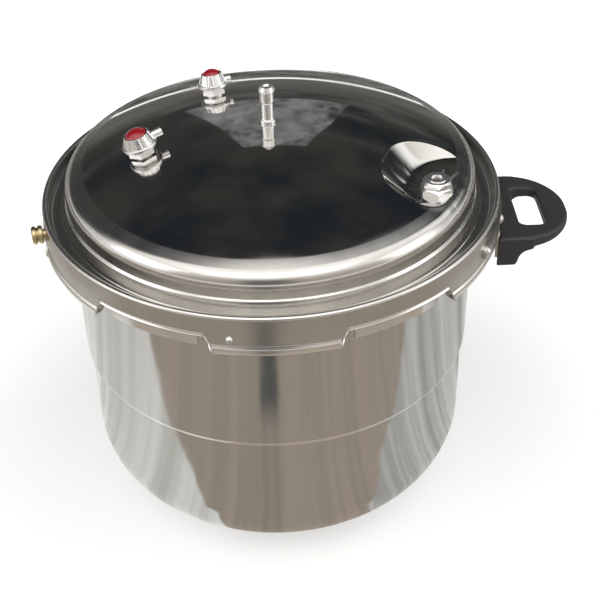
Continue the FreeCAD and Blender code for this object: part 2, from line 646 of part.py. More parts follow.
def valve_base(cap_radius):
    """Turned body: threaded shank, neck, hexagon and the boss that carries the cap."""
    shank = Part.makeCylinder(SHANK_RADIUS, SHANK_LENGTH, V(0, 0, -SHANK_LENGTH))
    neck = Part.makeCylinder(VALVE_NECK_RADIUS, VALVE_NECK_HEIGHT)
    collar = hexagon(2 * (cap_radius + VALVE_HEX_MARGIN), VALVE_NECK_HEIGHT, HEX_TOP)
    boss = Part.makeCylinder(VALVE_BOSS_RADIUS, VALVE_BOSS_HEIGHT, V(0, 0, HEX_TOP))
    bore = Part.makeCylinder(STEM_RADIUS + STEM_CLEARANCE, SHANK_LENGTH + BOSS_TOP, V(0, 0, -SHANK_LENGTH))
    return shank.fuse([neck, collar, boss]).cut(bore)


def valve_cap(cap_radius, button_radius, spout_length):
    """Fluted cone with a flange and a small side outlet."""
    foot_radius = cap_radius + VALVE_CONE_SPREAD
    flange_radius = foot_radius + VALVE_FLANGE_SPREAD
    cone = lathe([(0, HEX_TOP), (flange_radius, HEX_TOP, 0.8), (flange_radius, CONE_BOTTOM, 0.8),
                  (foot_radius, CONE_BOTTOM), (cap_radius, CONE_TOP, 0.4), (0, CONE_TOP)])
    lean = math.atan(VALVE_CONE_SPREAD / VALVE_CONE_HEIGHT)
    groove = Part.makeCylinder(VALVE_FLUTE_RADIUS, 3 * VALVE_CONE_HEIGHT, V(0, 0, -VALVE_CONE_HEIGHT))
    groove.rotate(ORIGIN, V(0, 1, 0), -math.degrees(lean))
    groove.translate(V(foot_radius + VALVE_FLUTE_RADIUS - VALVE_FLUTE_DEPTH, 0, CONE_BOTTOM))
    keep = ring(0.5 * cap_radius, 2 * flange_radius, CONE_BOTTOM + 0.4, CONE_TOP + 2)
    groove = groove.common(keep)
    step = 360.0 / VALVE_FLUTE_COUNT
    grooves = [turned(groove, step * i) for i in range(VALVE_FLUTE_COUNT)]
    spout_height = HEX_TOP + VALVE_SPOUT_RADIUS + BUTTON_CLEARANCE
    spout = Part.makeCylinder(VALVE_SPOUT_RADIUS, flange_radius + spout_length - cap_radius + 2,
                              V(cap_radius - 2, 0, spout_height), V(1, 0, 0))
    spout_bore = Part.makeCylinder(VALVE_SPOUT_BORE, 2 * spout_length,
                                   V(flange_radius, 0, spout_height), V(1, 0, 0))
    thread = Part.makeCylinder(VALVE_BOSS_RADIUS + THREAD_CLEARANCE, BOSS_TOP + 0.2 - HEX_TOP, V(0, 0, HEX_TOP))
    well = Part.makeCylinder(button_radius + BUTTON_CLEARANCE, VALVE_CONE_HEIGHT, V(0, 0, BOSS_TOP + 0.2))
    return cone.cut(grooves).fuse(spout).cut([thread, well, spout_bore])


def valve_button(button_radius):
    top = BUTTON_BOTTOM + BUTTON_SKIRT
    swell = (button_radius ** 2 + BUTTON_CROWN ** 2) / (2 * BUTTON_CROWN)
    post = Part.makeCylinder(button_radius, BUTTON_SKIRT + BUTTON_CROWN, V(0, 0, BUTTON_BOTTOM))
    ball = Part.makeSphere(swell, V(0, 0, top + BUTTON_CROWN - swell), UP, -90, 90, 360)
    socket = Part.makeCylinder(STEM_RADIUS + THREAD_CLEARANCE, STEM_TOP - BUTTON_BOTTOM + THREAD_CLEARANCE,
                               V(0, 0, BUTTON_BOTTOM))
    return post.common(ball).cut(socket)


def valve_stem():
    rod = Part.makeCylinder(STEM_RADIUS, STEM_TOP - COLLAR_TOP, V(0, 0, COLLAR_TOP))
    collar = lathe([(0, COLLAR_TOP - STEM_COLLAR_HEIGHT), (STEM_COLLAR_RADIUS, COLLAR_TOP - STEM_COLLAR_HEIGHT, 0.4),
                    (STEM_COLLAR_RADIUS, COLLAR_TOP), (0, COLLAR_TOP)])
    return rod.fuse(collar)


def write_valve(prefix, radius, degrees, button_radius, spout_length, spout_degrees):
    cap_radius = button_radius + BUTTON_CLEARANCE + VALVE_CAP_LIP
    pieces = {
        "base": valve_base(cap_radius),
        "cap": turned(valve_cap(cap_radius, button_radius, spout_length), spout_degrees),
        "button": valve_button(button_radius),
        "stem": valve_stem(),
        "spring": spring(VALVE_SPRING_RADIUS, VALVE_SPRING_WIRE, VALVE_SPRING_TURNS,
                         COLLAR_TOP + THREAD_CLEARANCE, -SHANK_LENGTH - THREAD_CLEARANCE),
        "seal": under_seal(SHANK_RADIUS, SEAL_TOP),
        "nut": under_nut(SHANK_RADIUS, NUT_TOP)}
    for name, piece in pieces.items():
        write(prefix + "_" + name, on_dome(piece, radius, degrees))


# ---------------------------------------------------------------- relief valve
RELIEF_UPPER_Z = RELIEF_HEX_HEIGHT + RELIEF_GROOVE_HEIGHT
RELIEF_TOP = RELIEF_UPPER_Z + RELIEF_UPPER_HEIGHT + RELIEF_TUBE_HEIGHT
RETAINER_TOP = RELIEF_TOP - RELIEF_RETAINER_SINK
RETAINER_BOTTOM = RETAINER_TOP - RELIEF_RETAINER_HEIGHT
DISC_TOP = -RELIEF_SEAT_HEIGHT + RELIEF_DISC_HEIGHT


def relief_body():
    bar = hexagon(RELIEF_HEX_WIDTH, 0, RELIEF_HEX_HEIGHT)
    upper = hexagon(RELIEF_UPPER_WIDTH, RELIEF_UPPER_Z, RELIEF_UPPER_Z + RELIEF_UPPER_HEIGHT)
    groove = Part.makeCylinder(RELIEF_GROOVE_RADIUS, RELIEF_UPPER_Z, ORIGIN)
    tube = lathe([(0, 0), (RELIEF_TUBE_RADIUS, 0), (RELIEF_TUBE_RADIUS, RELIEF_TOP, 0.5), (0, RELIEF_TOP)])
    shank = Part.makeCylinder(RELIEF_SHANK_RADIUS, RELIEF_SHANK_LENGTH, V(0, 0, -RELIEF_SHANK_LENGTH))
    cavity = Part.makeCylinder(RELIEF_CAVITY_RADIUS, RELIEF_TOP + RELIEF_SEAT_HEIGHT, V(0, 0, -RELIEF_SEAT_HEIGHT))
    inlet = Part.makeCylinder(RELIEF_INLET_RADIUS, RELIEF_SHANK_LENGTH, V(0, 0, -RELIEF_SHANK_LENGTH))
    return bar.fuse([groove, upper, tube, shank]).cut([cavity, inlet])


def relief_plunger():
    disc = Part.makeCylinder(RELIEF_DISC_RADIUS, RELIEF_DISC_HEIGHT - THREAD_CLEARANCE,
                             V(0, 0, -RELIEF_SEAT_HEIGHT + THREAD_CLEARANCE))
    stem_top = RELIEF_TOP - RELIEF_TRAVEL - RELIEF_STEM_MARGIN
    stem = Part.makeCylinder(RELIEF_STEM_RADIUS, stem_top - DISC_TOP, V(0, 0, DISC_TOP))
    return disc.fuse(stem)


def relief_retainer():
    plug = Part.makeCylinder(RELIEF_CAVITY_RADIUS - THREAD_CLEARANCE, RELIEF_RETAINER_HEIGHT, V(0, 0, RETAINER_BOTTOM))
    bore = Part.makeCylinder(RELIEF_STEM_RADIUS + RELIEF_STEM_CLEARANCE, RELIEF_RETAINER_HEIGHT, V(0, 0, RETAINER_BOTTOM))
    return plug.cut(bore)


def write_relief():
    pieces = {
        "relief_body": relief_body(),
        "relief_plunger": relief_plunger(),
        "relief_spring": spring(RELIEF_SPRING_RADIUS, RELIEF_SPRING_WIRE, RELIEF_SPRING_TURNS,
                                DISC_TOP + THREAD_CLEARANCE, RETAINER_BOTTOM - THREAD_CLEARANCE),
        "relief_retainer": relief_retainer(),
        "relief_seal": under_seal(RELIEF_SHANK_RADIUS, SEAL_TOP),
        "relief_nut": under_nut(RELIEF_SHANK_RADIUS, NUT_TOP)}
    for name, piece in pieces.items():
        piece.translate(RELIEF_FOOT)
        write(name, piece)


# ---------------------------------------------------------------- handle
def bracket_bottom():
    return TOOTH_LIP_Z + BRACKET_SKIRT_MARGIN


def bracket_middle():
    return bracket_bottom() + BRACKET_HEIGHT / 2


def bracket_inner():
    return SKIRT_RADIUS + BRACKET_GAP


def bracket_outer():
    return bracket_inner() + BRACKET_SHEET


def screw_height():
    return HANDLE_TOP - SCREW_DROP


def handle_bracket():
    bottom = bracket_bottom()
    end_deg = max(RIVET_DEGS)
    strap = ring_sector(bracket_inner(), bracket_outer(), bottom, bottom + BRACKET_HEIGHT, end_deg)
    sheet = ring(bracket_inner(), bracket_outer(), bottom, bottom + BRACKET_HEIGHT)
    round_end = Part.makeCylinder(BRACKET_HEIGHT / 2, 20, V(0, 0, SKIRT_RADIUS - 10))
    ends = [along_radius(round_end, d, bracket_middle()).common(sheet) for d in (-end_deg, end_deg)]
    tab = ring_sector(bracket_inner(), bracket_outer(), bottom - BRACKET_TAB_DROP, bottom + 1, BRACKET_TAB_HALF_DEG)
    plate = strap.fuse([tab] + ends).removeSplitter()
    rivet_hole = Part.makeCylinder(RIVET_RADIUS + HOLE_CLEARANCE, 8, V(0, 0, SKIRT_RADIUS - 3))
    screw_hole = Part.makeCylinder(SCREW_RADIUS + HOLE_CLEARANCE, 8, V(0, 0, SKIRT_RADIUS - 3))
    holes = [along_radius(rivet_hole, d, bracket_middle()) for d in RIVET_DEGS]
    holes += [along_radius(screw_hole, d, screw_height()) for d in (-SCREW_HALF_DEG, SCREW_HALF_DEG)]
    return plate.cut(holes)


def handle_rivets():
    inner = SKIRT_INNER_RADIUS - RIVET_TAIL_HEIGHT
    shoulder = bracket_outer() + 0.02
    swell = (RIVET_HEAD_RADIUS ** 2 + RIVET_HEAD_HEIGHT ** 2) / (2 * RIVET_HEAD_HEIGHT)
    head = Part.makeCylinder(RIVET_HEAD_RADIUS, RIVET_HEAD_HEIGHT, V(0, 0, shoulder))
    head = head.common(Part.makeSphere(swell, V(0, 0, shoulder + RIVET_HEAD_HEIGHT - swell), UP, -90, 90, 360))
    shank = Part.makeCylinder(RIVET_RADIUS, shoulder + 0.5 - inner, V(0, 0, inner))
    tail = Part.makeCylinder(RIVET_RADIUS + 0.6, RIVET_TAIL_HEIGHT - 0.15, V(0, 0, inner))
    rivet = shank.fuse([head, tail])
    return Part.makeCompound([along_radius(rivet, d, bracket_middle()) for d in RIVET_DEGS])


def handle_screws():
    seat = bracket_inner() - 0.1
    head = Part.makeCylinder(SCREW_HEAD_RADIUS, SCREW_HEAD_HEIGHT, V(0, 0, seat - SCREW_HEAD_HEIGHT))
    shank = Part.makeCylinder(SCREW_RADIUS, SCREW_LENGTH, V(0, 0, seat))
    slot = Part.makeBox(2 * SCREW_HEAD_RADIUS, 0.9, 0.7,
                        V(-SCREW_HEAD_RADIUS, -0.45, seat - SCREW_HEAD_HEIGHT))
    screw = head.fuse(shank).cut(slot)
    return Part.makeCompound([along_radius(screw, d, screw_height()) for d in (-SCREW_HALF_DEG, SCREW_HALF_DEG)])


def handle_grip():
    """Moulded loop with a foot that hangs behind the bracket's tab."""
    root = bracket_outer() + BRACKET_GAP
    tip = SKIRT_RADIUS + HANDLE_REACH
    half = HANDLE_WIDTH / 2
    foot_out = root + HANDLE_FOOT_THICKNESS
    under = HANDLE_TOP - HANDLE_LOOP_THICKNESS
    tip_top = HANDLE_TOP - HANDLE_TIP_DROP
    tip_bend = 0.42 * HANDLE_TIP_THICKNESS
    foot_bottom = HANDLE_TOP - HANDLE_FOOT_DEPTH
    start = root * math.cos(math.asin(half / root)) - 2
    side = bent_line([
        (start, HANDLE_TOP, 0), (tip, tip_top, tip_bend), (tip, tip_top - HANDLE_TIP_THICKNESS, tip_bend),
        (foot_out, under, HANDLE_THROAT), (root + HANDLE_FOOT_TOE, foot_bottom, 3.0),
        (start, foot_bottom, 0), (start, HANDLE_TOP, 0)])
    profile = Part.Face(Part.Wire(side))
    profile.translate(V(0, -half, 0))
    block = profile.extrude(V(0, HANDLE_WIDTH, 0))

    span = tip - start
    plan = Part.makeBox(span, HANDLE_WIDTH, HANDLE_FOOT_DEPTH + 2, V(start, -half, foot_bottom - 1))
    corners = [e for e in plan.Edges if abs(e.CenterOfMass.x - tip) < 0.01 and e.Length > HANDLE_FOOT_DEPTH
               and abs(e.Vertexes[0].X - e.Vertexes[1].X) < 0.01 and abs(e.Vertexes[0].Y - e.Vertexes[1].Y) < 0.01]
    plan = plan.makeFillet(HANDLE_CORNER, corners)
    block = block.common(plan)

    skin = Part.makeCylinder(root, 2 * HANDLE_FOOT_DEPTH + 20, V(0, 0, foot_bottom - 10))
    block = block.cut(skin)

    hole = Part.makeBox(GRIP_HOLE_REACH, GRIP_HOLE_WIDTH, HANDLE_FOOT_DEPTH,
                        V(foot_out, -GRIP_HOLE_WIDTH / 2, HANDLE_TOP - HANDLE_FOOT_DEPTH + 3))
    hole_end = foot_out + GRIP_HOLE_REACH
    hole_corners = [e for e in hole.Edges if abs(e.Vertexes[0].X - hole_end) < 0.01
                    and abs(e.Vertexes[1].X - hole_end) < 0.01 and abs(e.Vertexes[0].Z - e.Vertexes[1].Z) > 1]
    hole = hole.makeFillet(GRIP_HOLE_CORNER, hole_corners)
    block = block.cut(hole)

    bore = Part.makeCylinder(SCREW_RADIUS + THREAD_CLEARANCE, SCREW_LENGTH + 1, V(0, 0, bracket_inner()))
    return block.cut([along_radius(bore, d, screw_height()) for d in (-SCREW_HALF_DEG, SCREW_HALF_DEG)])


# ---------------------------------------------------------------- stop rivet and side stud
def stop_degrees():
    """Side of the stop rivet: it meets a pot lug when the lid has turned to its locked place."""
    lug_edge = -PITCH_DEG - LUG_WIDTH_DEG / 2
    return lug_edge - LOCK_TURN_DEG - math.degrees(STOP_RIVET_RADIUS / LUG_RADIUS)


def stop_rivet():
    inner = LUG_RADIUS - STOP_RIVET_REACH
    outer = SKIRT_RADIUS + 0.05
    shank = Part.makeCylinder(STOP_RIVET_RADIUS, outer + 0.4 - inner, V(0, 0, inner))
    swell = (STOP_RIVET_HEAD_RADIUS ** 2 + STOP_RIVET_HEAD_HEIGHT ** 2) / (2 * STOP_RIVET_HEAD_HEIGHT)
    head = Part.makeCylinder(STOP_RIVET_HEAD_RADIUS, STOP_RIVET_HEAD_HEIGHT, V(0, 0, outer))
    head = head.common(Part.makeSphere(swell, V(0, 0, outer + STOP_RIVET_HEAD_HEIGHT - swell), UP, -90, 90, 360))
    return along_radius(shank.fuse(head), stop_degrees(), POT_HEIGHT - STOP_RIVET_DROP)


def side_stud():
    """Brass stud with two ridges, where a second handle would be fastened."""
    start = SKIRT_RADIUS + 0.05
    ridge = start + STUD_NECK_LENGTH
    waist = ridge + STUD_RIDGE_WIDTH
    second = waist + STUD_WAIST_WIDTH
    end = second + STUD_RIDGE_WIDTH
    stud = lathe([
        (0, SKIRT_INNER_RADIUS + 0.1), (STUD_SHANK_RADIUS, SKIRT_INNER_RADIUS + 0.1),
        (STUD_SHANK_RADIUS, start), (STUD_NECK_RADIUS, start), (STUD_NECK_RADIUS, ridge),
        (STUD_RIDGE_RADIUS, ridge, 1.6), (STUD_RIDGE_RADIUS, waist, 1.6), (STUD_WAIST_RADIUS, waist),
        (STUD_WAIST_RADIUS, second), (STUD_RIDGE_RADIUS, second, 1.6), (STUD_RIDGE_RADIUS, end, 2.1),
        (0, end)])
    return along_radius(stud, STUD_DEG, CREST_Z - STUD_DROP)


# ---------------------------------------------------------------- write every piece
def main():
    os.makedirs("parts", exist_ok=True)
    write("pot_body", pot_body())
    write("base_core", base_core())
    write("base_cap", base_cap())
    write("canning_rack", rack())
    write("lid_gasket", lid_gasket())
    write("lid_shell", lid_shell())
    write_vent()
    write_valve("front_valve", FRONT_VALVE_RADIUS, FRONT_VALVE_DEG, FRONT_BUTTON_RADIUS,
                FRONT_SPOUT_LENGTH, FRONT_SPOUT_DEG)
    write_valve("rear_valve", REAR_VALVE_RADIUS, REAR_VALVE_DEG, REAR_BUTTON_RADIUS,
                REAR_SPOUT_LENGTH, REAR_SPOUT_DEG)
    write_relief()
    write("handle_bracket", handle_bracket())
    write("handle_rivets", handle_rivets())
    write("handle_screws", handle_screws())
    write("handle_grip", handle_grip())
    write("stop_rivet", stop_rivet())
    write("side_stud", side_stud())


main()
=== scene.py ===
"""Looks of a stove-top pressure canner: steels, fittings, handle, studio and camera."""

import json
import math

import bmesh
import bpy
import numpy as np
from mathutils import Matrix, Vector


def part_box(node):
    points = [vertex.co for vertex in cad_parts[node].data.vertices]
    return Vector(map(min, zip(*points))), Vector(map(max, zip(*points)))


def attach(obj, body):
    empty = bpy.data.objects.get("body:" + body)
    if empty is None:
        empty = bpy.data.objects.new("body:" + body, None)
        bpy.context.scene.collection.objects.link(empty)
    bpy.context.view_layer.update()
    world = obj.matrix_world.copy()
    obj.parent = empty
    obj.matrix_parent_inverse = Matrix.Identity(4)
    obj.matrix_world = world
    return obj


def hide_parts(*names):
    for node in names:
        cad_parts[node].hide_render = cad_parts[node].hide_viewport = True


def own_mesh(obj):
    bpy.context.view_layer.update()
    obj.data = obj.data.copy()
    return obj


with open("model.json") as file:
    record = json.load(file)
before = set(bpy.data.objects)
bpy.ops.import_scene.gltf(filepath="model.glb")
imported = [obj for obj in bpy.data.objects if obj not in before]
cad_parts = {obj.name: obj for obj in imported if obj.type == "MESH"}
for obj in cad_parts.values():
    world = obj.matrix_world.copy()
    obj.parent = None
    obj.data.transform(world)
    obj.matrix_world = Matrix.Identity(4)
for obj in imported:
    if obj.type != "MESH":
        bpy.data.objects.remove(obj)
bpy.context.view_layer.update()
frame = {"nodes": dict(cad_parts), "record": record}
nodes = frame["nodes"]

MM = 0.001

# ---------------------------------------------------------------- camera and stage, in metres
CAMERA_DISTANCE = 0.9781
CAMERA_ELEVATION = 36.9
CAMERA_ROLL = -2.3
CAMERA_LENS = 73.1
CAMERA_AIM_HEIGHT = 0.1481
CAMERA_SHIFT = (0.0422, -0.0065)
FLOOR_RADIUS = 60.0
FLOOR_SIDES = 64
FLOOR_GLOW = (0.52, 0.98)     # near the canner and far from it; the lower glow near it is painted shade
FAR_START = 0.435             # beyond this the cards paint a brown reflection of the floor, and beyond the end as before
FAR_END = 1.3
FAR_LEAN = 0.15
STRIPE = (-0.14, 0.0)         # painted dark strip, a stand-in for shade on the floor that the wall reflects, as x over distance
SHADE = (-0.30, 0.16)         # dark part of the room that the shoulder reflects
CARD_HEIGHT = 0.002           # cards that only the gloss sees lie this far over the floor
BACK_CARD_HEIGHT = 0.004

# ---------------------------------------------------------------- finish zones, in metres
DOME_EDGE = 0.1370            # the dome is polished inside this radius
DOME_LOWEST = 0.262           # and above this height
CREST_FROM = 0.1643           # the skirt's rounded top, outside this radius and above the height
CREST_ABOVE = 0.2545
LIP_FACE = 0.1707             # outside of the teeth's lips, below the height; they get a painted highlight
LIP_BELOW = 0.2445
REAR_SHADE_FROM = 0.139       # outside this radius the rear of the lid has painted shade, a darker colour
REAR_SHADE_BEHIND = 0.06      # y at the middle of that change
UNEVEN_FROM = 0.017           # ring round the relief valve that the pressing left uneven
UNEVEN_TO = 0.032
STEP_TOP = 0.1302             # painted highlight lines where the step in the wall catches light
STEP_FOOT = 0.1270
WALL_FACE = 0.1485            # they show only outside this radius
LUG_FACE = 0.1565             # outside of the rim's six lugs, which get a painted highlight

# ---------------------------------------------------------------- lid, in millimetres
LID_SHEET = 1.8
LIP_STAND = 1.5               # a tooth's lip outside the skirt
CHANNEL_OVER_RIM = 8.0        # pot rim up to the channel
CREST_RISE = 9.0
CREST_WIDTH = 5.0
CREST_BEND = 2.48
SKIRT_DEPTH = 16.5            # crest down to the skirt's edge between the teeth
SHOULDER_INSET = 18.2         # skirt to the shoulder's wall
SHOULDER_WALL = 18.075
SHOULDER_ROLL = 12.0
ROLL_OVERLAP = 0.2            # end of the roll down to the next point of the wall
SHOULDER_FOOT = 9.5
SHOULDER_SLOPE = 3.3
BEAD_STEP = 1.4
BEAD_BEND = 0.8
CHANNEL_BEND = 2.2
DOME_CROWN = 370.0            # radius that the dome is curved to
TOOTH_LIP = 8.5               # height of a tooth's lip
LIP_BEND = 4.0                # turn of a tooth's lip under the rim
LIP_CREST = 3.8               # turn from the lip's upper edge into its face
LIP_START = 0.8               # turn from the skirt into the lip
TOOTH_REACH = 10.5            # skirt in to the end of a tooth
TOOTH_TAPER = 8.0
GAP_HALF_WIDTH = 40.26        # half of the gap between two teeth
LUG_COUNT = 6
EDGE_FLARE = 1.2              # how far the skirt's edge turns out between the teeth
EDGE_HEIGHT = 3.0             # height over which it turns out
EDGE_ROWS = 5
RECESS_FRONT = (-0.5, -2.5, 21.5)      # x and y from the relief valve, and radius
RECESS_REAR = (15.5, 8.5, 32.0)
RECESS_SINK = 5.0             # dome at the relief valve down to the recess floor
RECESS_DRAFT = 48.0           # lean of its wall, in degrees
RIM_BLEND = 0.9               # softness of the recess's rim
FLOOR_BLEND = 4.0             # softness of the change from its floor to its wall
RECESS_REACH = 72.0           # the recess lies outside this radius
RECESS_SPAN = (-64.0, 16.0)   # directions that it lies between
DOME_COARSE = 4.0             # spacing of the dome's rings inside and outside RECESS_REACH
DOME_FINE = 0.8
ROLL_STEPS = 14
WIDE_STEP = 1.0               # degrees between columns, and between those at the recess
FINE_STEP = 0.4
TAPER_STEPS = 10
LIP_FADE = 5.0                # length over which a tooth's inward lip grows at its ends
TOOTH_STEPS = 30
INNER_SHARE = 0.98            # how much less the inside of a tooth runs down than its outside
CREASE_ANGLE = 38.0
WELD = 0.0005                 # points closer than this become one

# ---------------------------------------------------------------- handle, in millimetres
GRIP_GAP = 0.1
GRIP_FOOT = 13.5
GRIP_TOE = 10.0
GRIP_THROAT = 9.0
GRIP_THICKNESS = 10.5
GRIP_TIP_THICKNESS = 7.6
GRIP_TIP_DROP = 1.5
GRIP_CORNER = 42.0
GRIP_HOLE_REACH = 20.0
GRIP_HOLE_WIDTH = 50.0
GRIP_HOLE_CORNER = 6.0
GRIP_COLUMNS = 220
GRIP_SECTION = 32
GRIP_SQUARENESS = 0.42
FOOT_COLUMNS = 60
FOOT_ROWS = 60
GRIP_VOXEL = 0.7
GRIP_SMOOTHING = 4
GRIP_SMOOTHING_SHARE = 0.5
FOOT_END_POWER = 14           # how late the foot narrows towards its two ends
FOOT_END_TAPER = 0.1
FOOT_END_RISE = 0.8
FOOT_TOP_SINK = 1.5           # foot's top below the loop's, inside the loop
FOOT_BEND = 0.2
FOOT_TOE_BEND = 2.6
FOOT_HOLE_MARGIN = 1.5        # beside the hole the foot runs out under the loop with a throat
FOOT_HOLE_THROAT = 0.3
HALVINGS = 30                 # steps of the search for an edge


# ---------------------------------------------------------------- shader maths
class Value:
    """A shader socket that takes Python's operators."""

    def __init__(self, graph, socket):
        self.graph = graph
        self.socket = socket

    def maths(self, operation, *terms):
        return self.graph.add("Math", {"operation": operation}, dict(enumerate(terms)))

    def __add__(self, other):
        return self.maths("ADD", self, other)

    def __radd__(self, other):
        return self.maths("ADD", other, self)

    def __sub__(self, other):
        return self.maths("SUBTRACT", self, other)

    def __rsub__(self, other):
        return self.maths("SUBTRACT", other, self)

    def __mul__(self, other):
        return self.maths("MULTIPLY", self, other)

    def __rmul__(self, other):
        return self.maths("MULTIPLY", other, self)

    def __truediv__(self, other):
        return self.maths("DIVIDE", self, other)

    def __pow__(self, other):
        return self.maths("POWER", self, other)

    def above(self, edge, blur):
        """0 below the edge and 1 above it, with a smooth step as wide as blur."""
        return self.graph.add("MapRange", {"interpolation_type": "SMOOTHSTEP"},
                              {"Value": self, "From Min": edge - blur / 2, "From Max": edge + blur / 2})

    def below(self, edge, blur):
        return 1 - self.above(edge, blur)

    def size(self):
        """The value without its sign."""
        return self.maths("ABSOLUTE", self)


class Graph:
    """Node tree of one material or of the world."""

    def __init__(self, tree):
        self.tree = tree
        tree.nodes.clear()

    def add(self, kind, settings=None, inputs=None, output=0):
        node = self.tree.nodes.new("ShaderNode" + kind)
        for name, value in (settings or {}).items():
            setattr(node, name, value)
        for name, value in (inputs or {}).items():
            if isinstance(value, Value):
                self.tree.links.new(value.socket, node.inputs[name])
            else:
                node.inputs[name].default_value = value
        return Value(self, node.outputs[output]) if node.outputs else None

    def place(self):
        """The point in the canner's own frame, as x, y and z in metres."""
        point = self.add("TexCoord", output="Object")
        return [self.add("SeparateXYZ", {}, {"Vector": point}, output=axis) for axis in "XYZ"]

    def vector(self, x, y, z):
        return self.add("CombineXYZ", {}, {"X": x, "Y": y, "Z": z})

    def noise(self, vector, scale=1.0, detail=2.0, roughness=0.5):
        return self.add("TexNoise", {}, {"Vector": vector, "Scale": scale, "Detail": detail,
                                         "Roughness": roughness}, output="Fac")

    def blend(self, share, first, second):
        """Colour between two colours."""
        return self.add("Mix", {"data_type": "RGBA"}, {0: share, 6: first, 7: second}, output=2)

    def tint(self, color, value):
        """One colour made lighter or darker by a value near 1."""
        return self.add("VectorMath", {"operation": "SCALE"}, {0: color, "Scale": value})

    def bump(self, height, distance, strength=1.0):
        return self.add("Bump", {}, {"Height": height, "Distance": distance, "Strength": strength})


def new_material(name):
    material = bpy.data.materials.new(name)
    material.use_nodes = True
    return material, Graph(material.node_tree)


def close(graph, **inputs):
    """Ends a material in one surface shader; inputs are its sockets with _ for a space."""
    sockets = {name.replace("_", " "): value for name, value in inputs.items()}
    shader = graph.add("BsdfPrincipled", {}, sockets)
    graph.add("OutputMaterial", {}, {"Surface": shader})


# ---------------------------------------------------------------- steels
def brushing(graph, x, y, along, fineness):
    """Fine scratches that run round the canner, from -0.5 to 0.5."""
    lines = graph.noise(graph.vector(x * 9, y * 9, along * fineness), 1.0, 4.0, 0.65)
    return lines - 0.5


def streaks(graph, x, y, radius, count):
    """Soft uneven streaks that run up and down, from -0.5 to 0.5."""
    around = graph.vector(x / radius * count, y / radius * count, 0.0)
    return graph.noise(around, 1.0, 3.0, 0.6) - 0.5


def lid_material():
    """Mirror dome, satin shoulder and skirt, bright crest."""
    material, graph = new_material("lid steel")
    x, y, z = graph.place()
    radius = (x * x + y * y) ** 0.5
    mirror = radius.below(DOME_EDGE, 0.0014) * z.above(DOME_LOWEST, 0.001)
    crest = radius.above(CREST_FROM, 0.001) * z.above(CREST_ABOVE, 0.002)
    along = z - radius
    lines = brushing(graph, x, y, along, 2600)
    bands = streaks(graph, x, y, radius, 9.0)
    cloud = graph.noise(graph.vector(x, y, z), 14.0, 4.0, 0.6) - 0.5
    satin = 0.20 + 0.10 * lines + 0.08 * bands
    polish = 0.05 + 0.06 * cloud.above(0.05, 0.25)
    roughness = satin * (1 - mirror) * (1 - crest) + polish * mirror + 0.27 * crest
    # painted highlight: the teeth's lips get a lighter base colour to stand for the bright line that
    # light draws on them
    wear_and_painted_sheen = radius.above(LIP_FACE, 0.0005) * z.below(LIP_BELOW, 0.001)
    # painted shade: the rear of the shoulder, channel and crest is darkened to hold back their bright
    # reflections
    shaded = radius.above(REAR_SHADE_FROM, 0.004) * y.above(REAR_SHADE_BEHIND, 0.10) * 0.6
    shade = 1.0 + (0.16 * bands + 0.12 * lines) * (1 - mirror) + 0.05 * cloud + 0.35 * wear_and_painted_sheen
    shade = shade * (1 - shaded)
    low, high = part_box("relief_body")
    aside = x - (low[0] + high[0]) / 2
    behind = y - (low[1] + high[1]) / 2
    spread = (aside * aside + behind * behind) ** 0.5
    around = graph.vector(aside / spread * 1.6, behind / spread * 1.6, spread * 20)
    uneven = (graph.noise(around, 1.0, 2.0, 0.5) - 0.5) * 90
    uneven = spread.above(UNEVEN_FROM, 0.018) * spread.below(UNEVEN_TO, 0.012) * uneven
    height = 0.45 * lines * (1 - mirror) + 0.01 * lines + uneven
    close(graph,
          Base_Color=graph.tint((0.66, 0.645, 0.62), shade),
          Metallic=1.0, Roughness=roughness, Anisotropic=0.55,
          Normal=graph.bump(height, 0.00003, 0.5))
    return material


def pot_material():
    """Bright wall with a faint ripple, spun marks and soft streaks."""
    material, graph = new_material("pot steel")
    x, y, z = graph.place()
    radius = (x * x + y * y) ** 0.5
    lines = brushing(graph, x, y, z - radius, 1800)
    bands = streaks(graph, x, y, radius, 10.0)
    ripple = graph.noise(graph.vector(x * 22, y * 22, z * 9), 1.0, 3.0, 0.55) - 0.5
    roughness = 0.10 + 0.10 * bands + 0.05 * lines
    # painted highlight: two lighter lines along the step in the wall
    upper_edge = (z - STEP_TOP).size().below(0.0007, 0.0008)
    lower_edge = (z - STEP_FOOT).size().below(0.0006, 0.0008)
    step = (0.62 * upper_edge + 0.45 * lower_edge) * radius.above(WALL_FACE, 0.0002)
    # painted highlight: the lugs' outer faces are lighter in colour
    lug = 0.40 * radius.above(LUG_FACE, 0.001)
    shade = 1.0 + 0.14 * bands + 0.05 * lines + step + lug
    height = ripple + 0.006 * lines
    close(graph,
          Base_Color=graph.tint((0.62, 0.61, 0.59), shade),
          Metallic=1.0, Roughness=roughness, Anisotropic=0.5,
          Normal=graph.bump(height, 0.0011, 0.5))
    return material


def plain_metal(name, color, roughness, grain, anisotropic=0.0):
    """Turned or plated metal with faint marks and a little handling wear."""
    material, graph = new_material(name)
    x, y, z = graph.place()
    point = graph.vector(x, y, z)
    marks = graph.noise(point, grain, 4.0, 0.6) - 0.5
    wear = graph.noise(point, grain / 6, 3.0, 0.6) - 0.5
    close(graph,
          Base_Color=graph.tint(color, 1.0 + 0.12 * marks + 0.12 * wear),
          Metallic=1.0, Roughness=roughness + 0.12 * marks + 0.12 * wear.above(0.0, 0.4),
          Anisotropic=anisotropic, Normal=graph.bump(marks, 0.00002, 0.4))
    return material


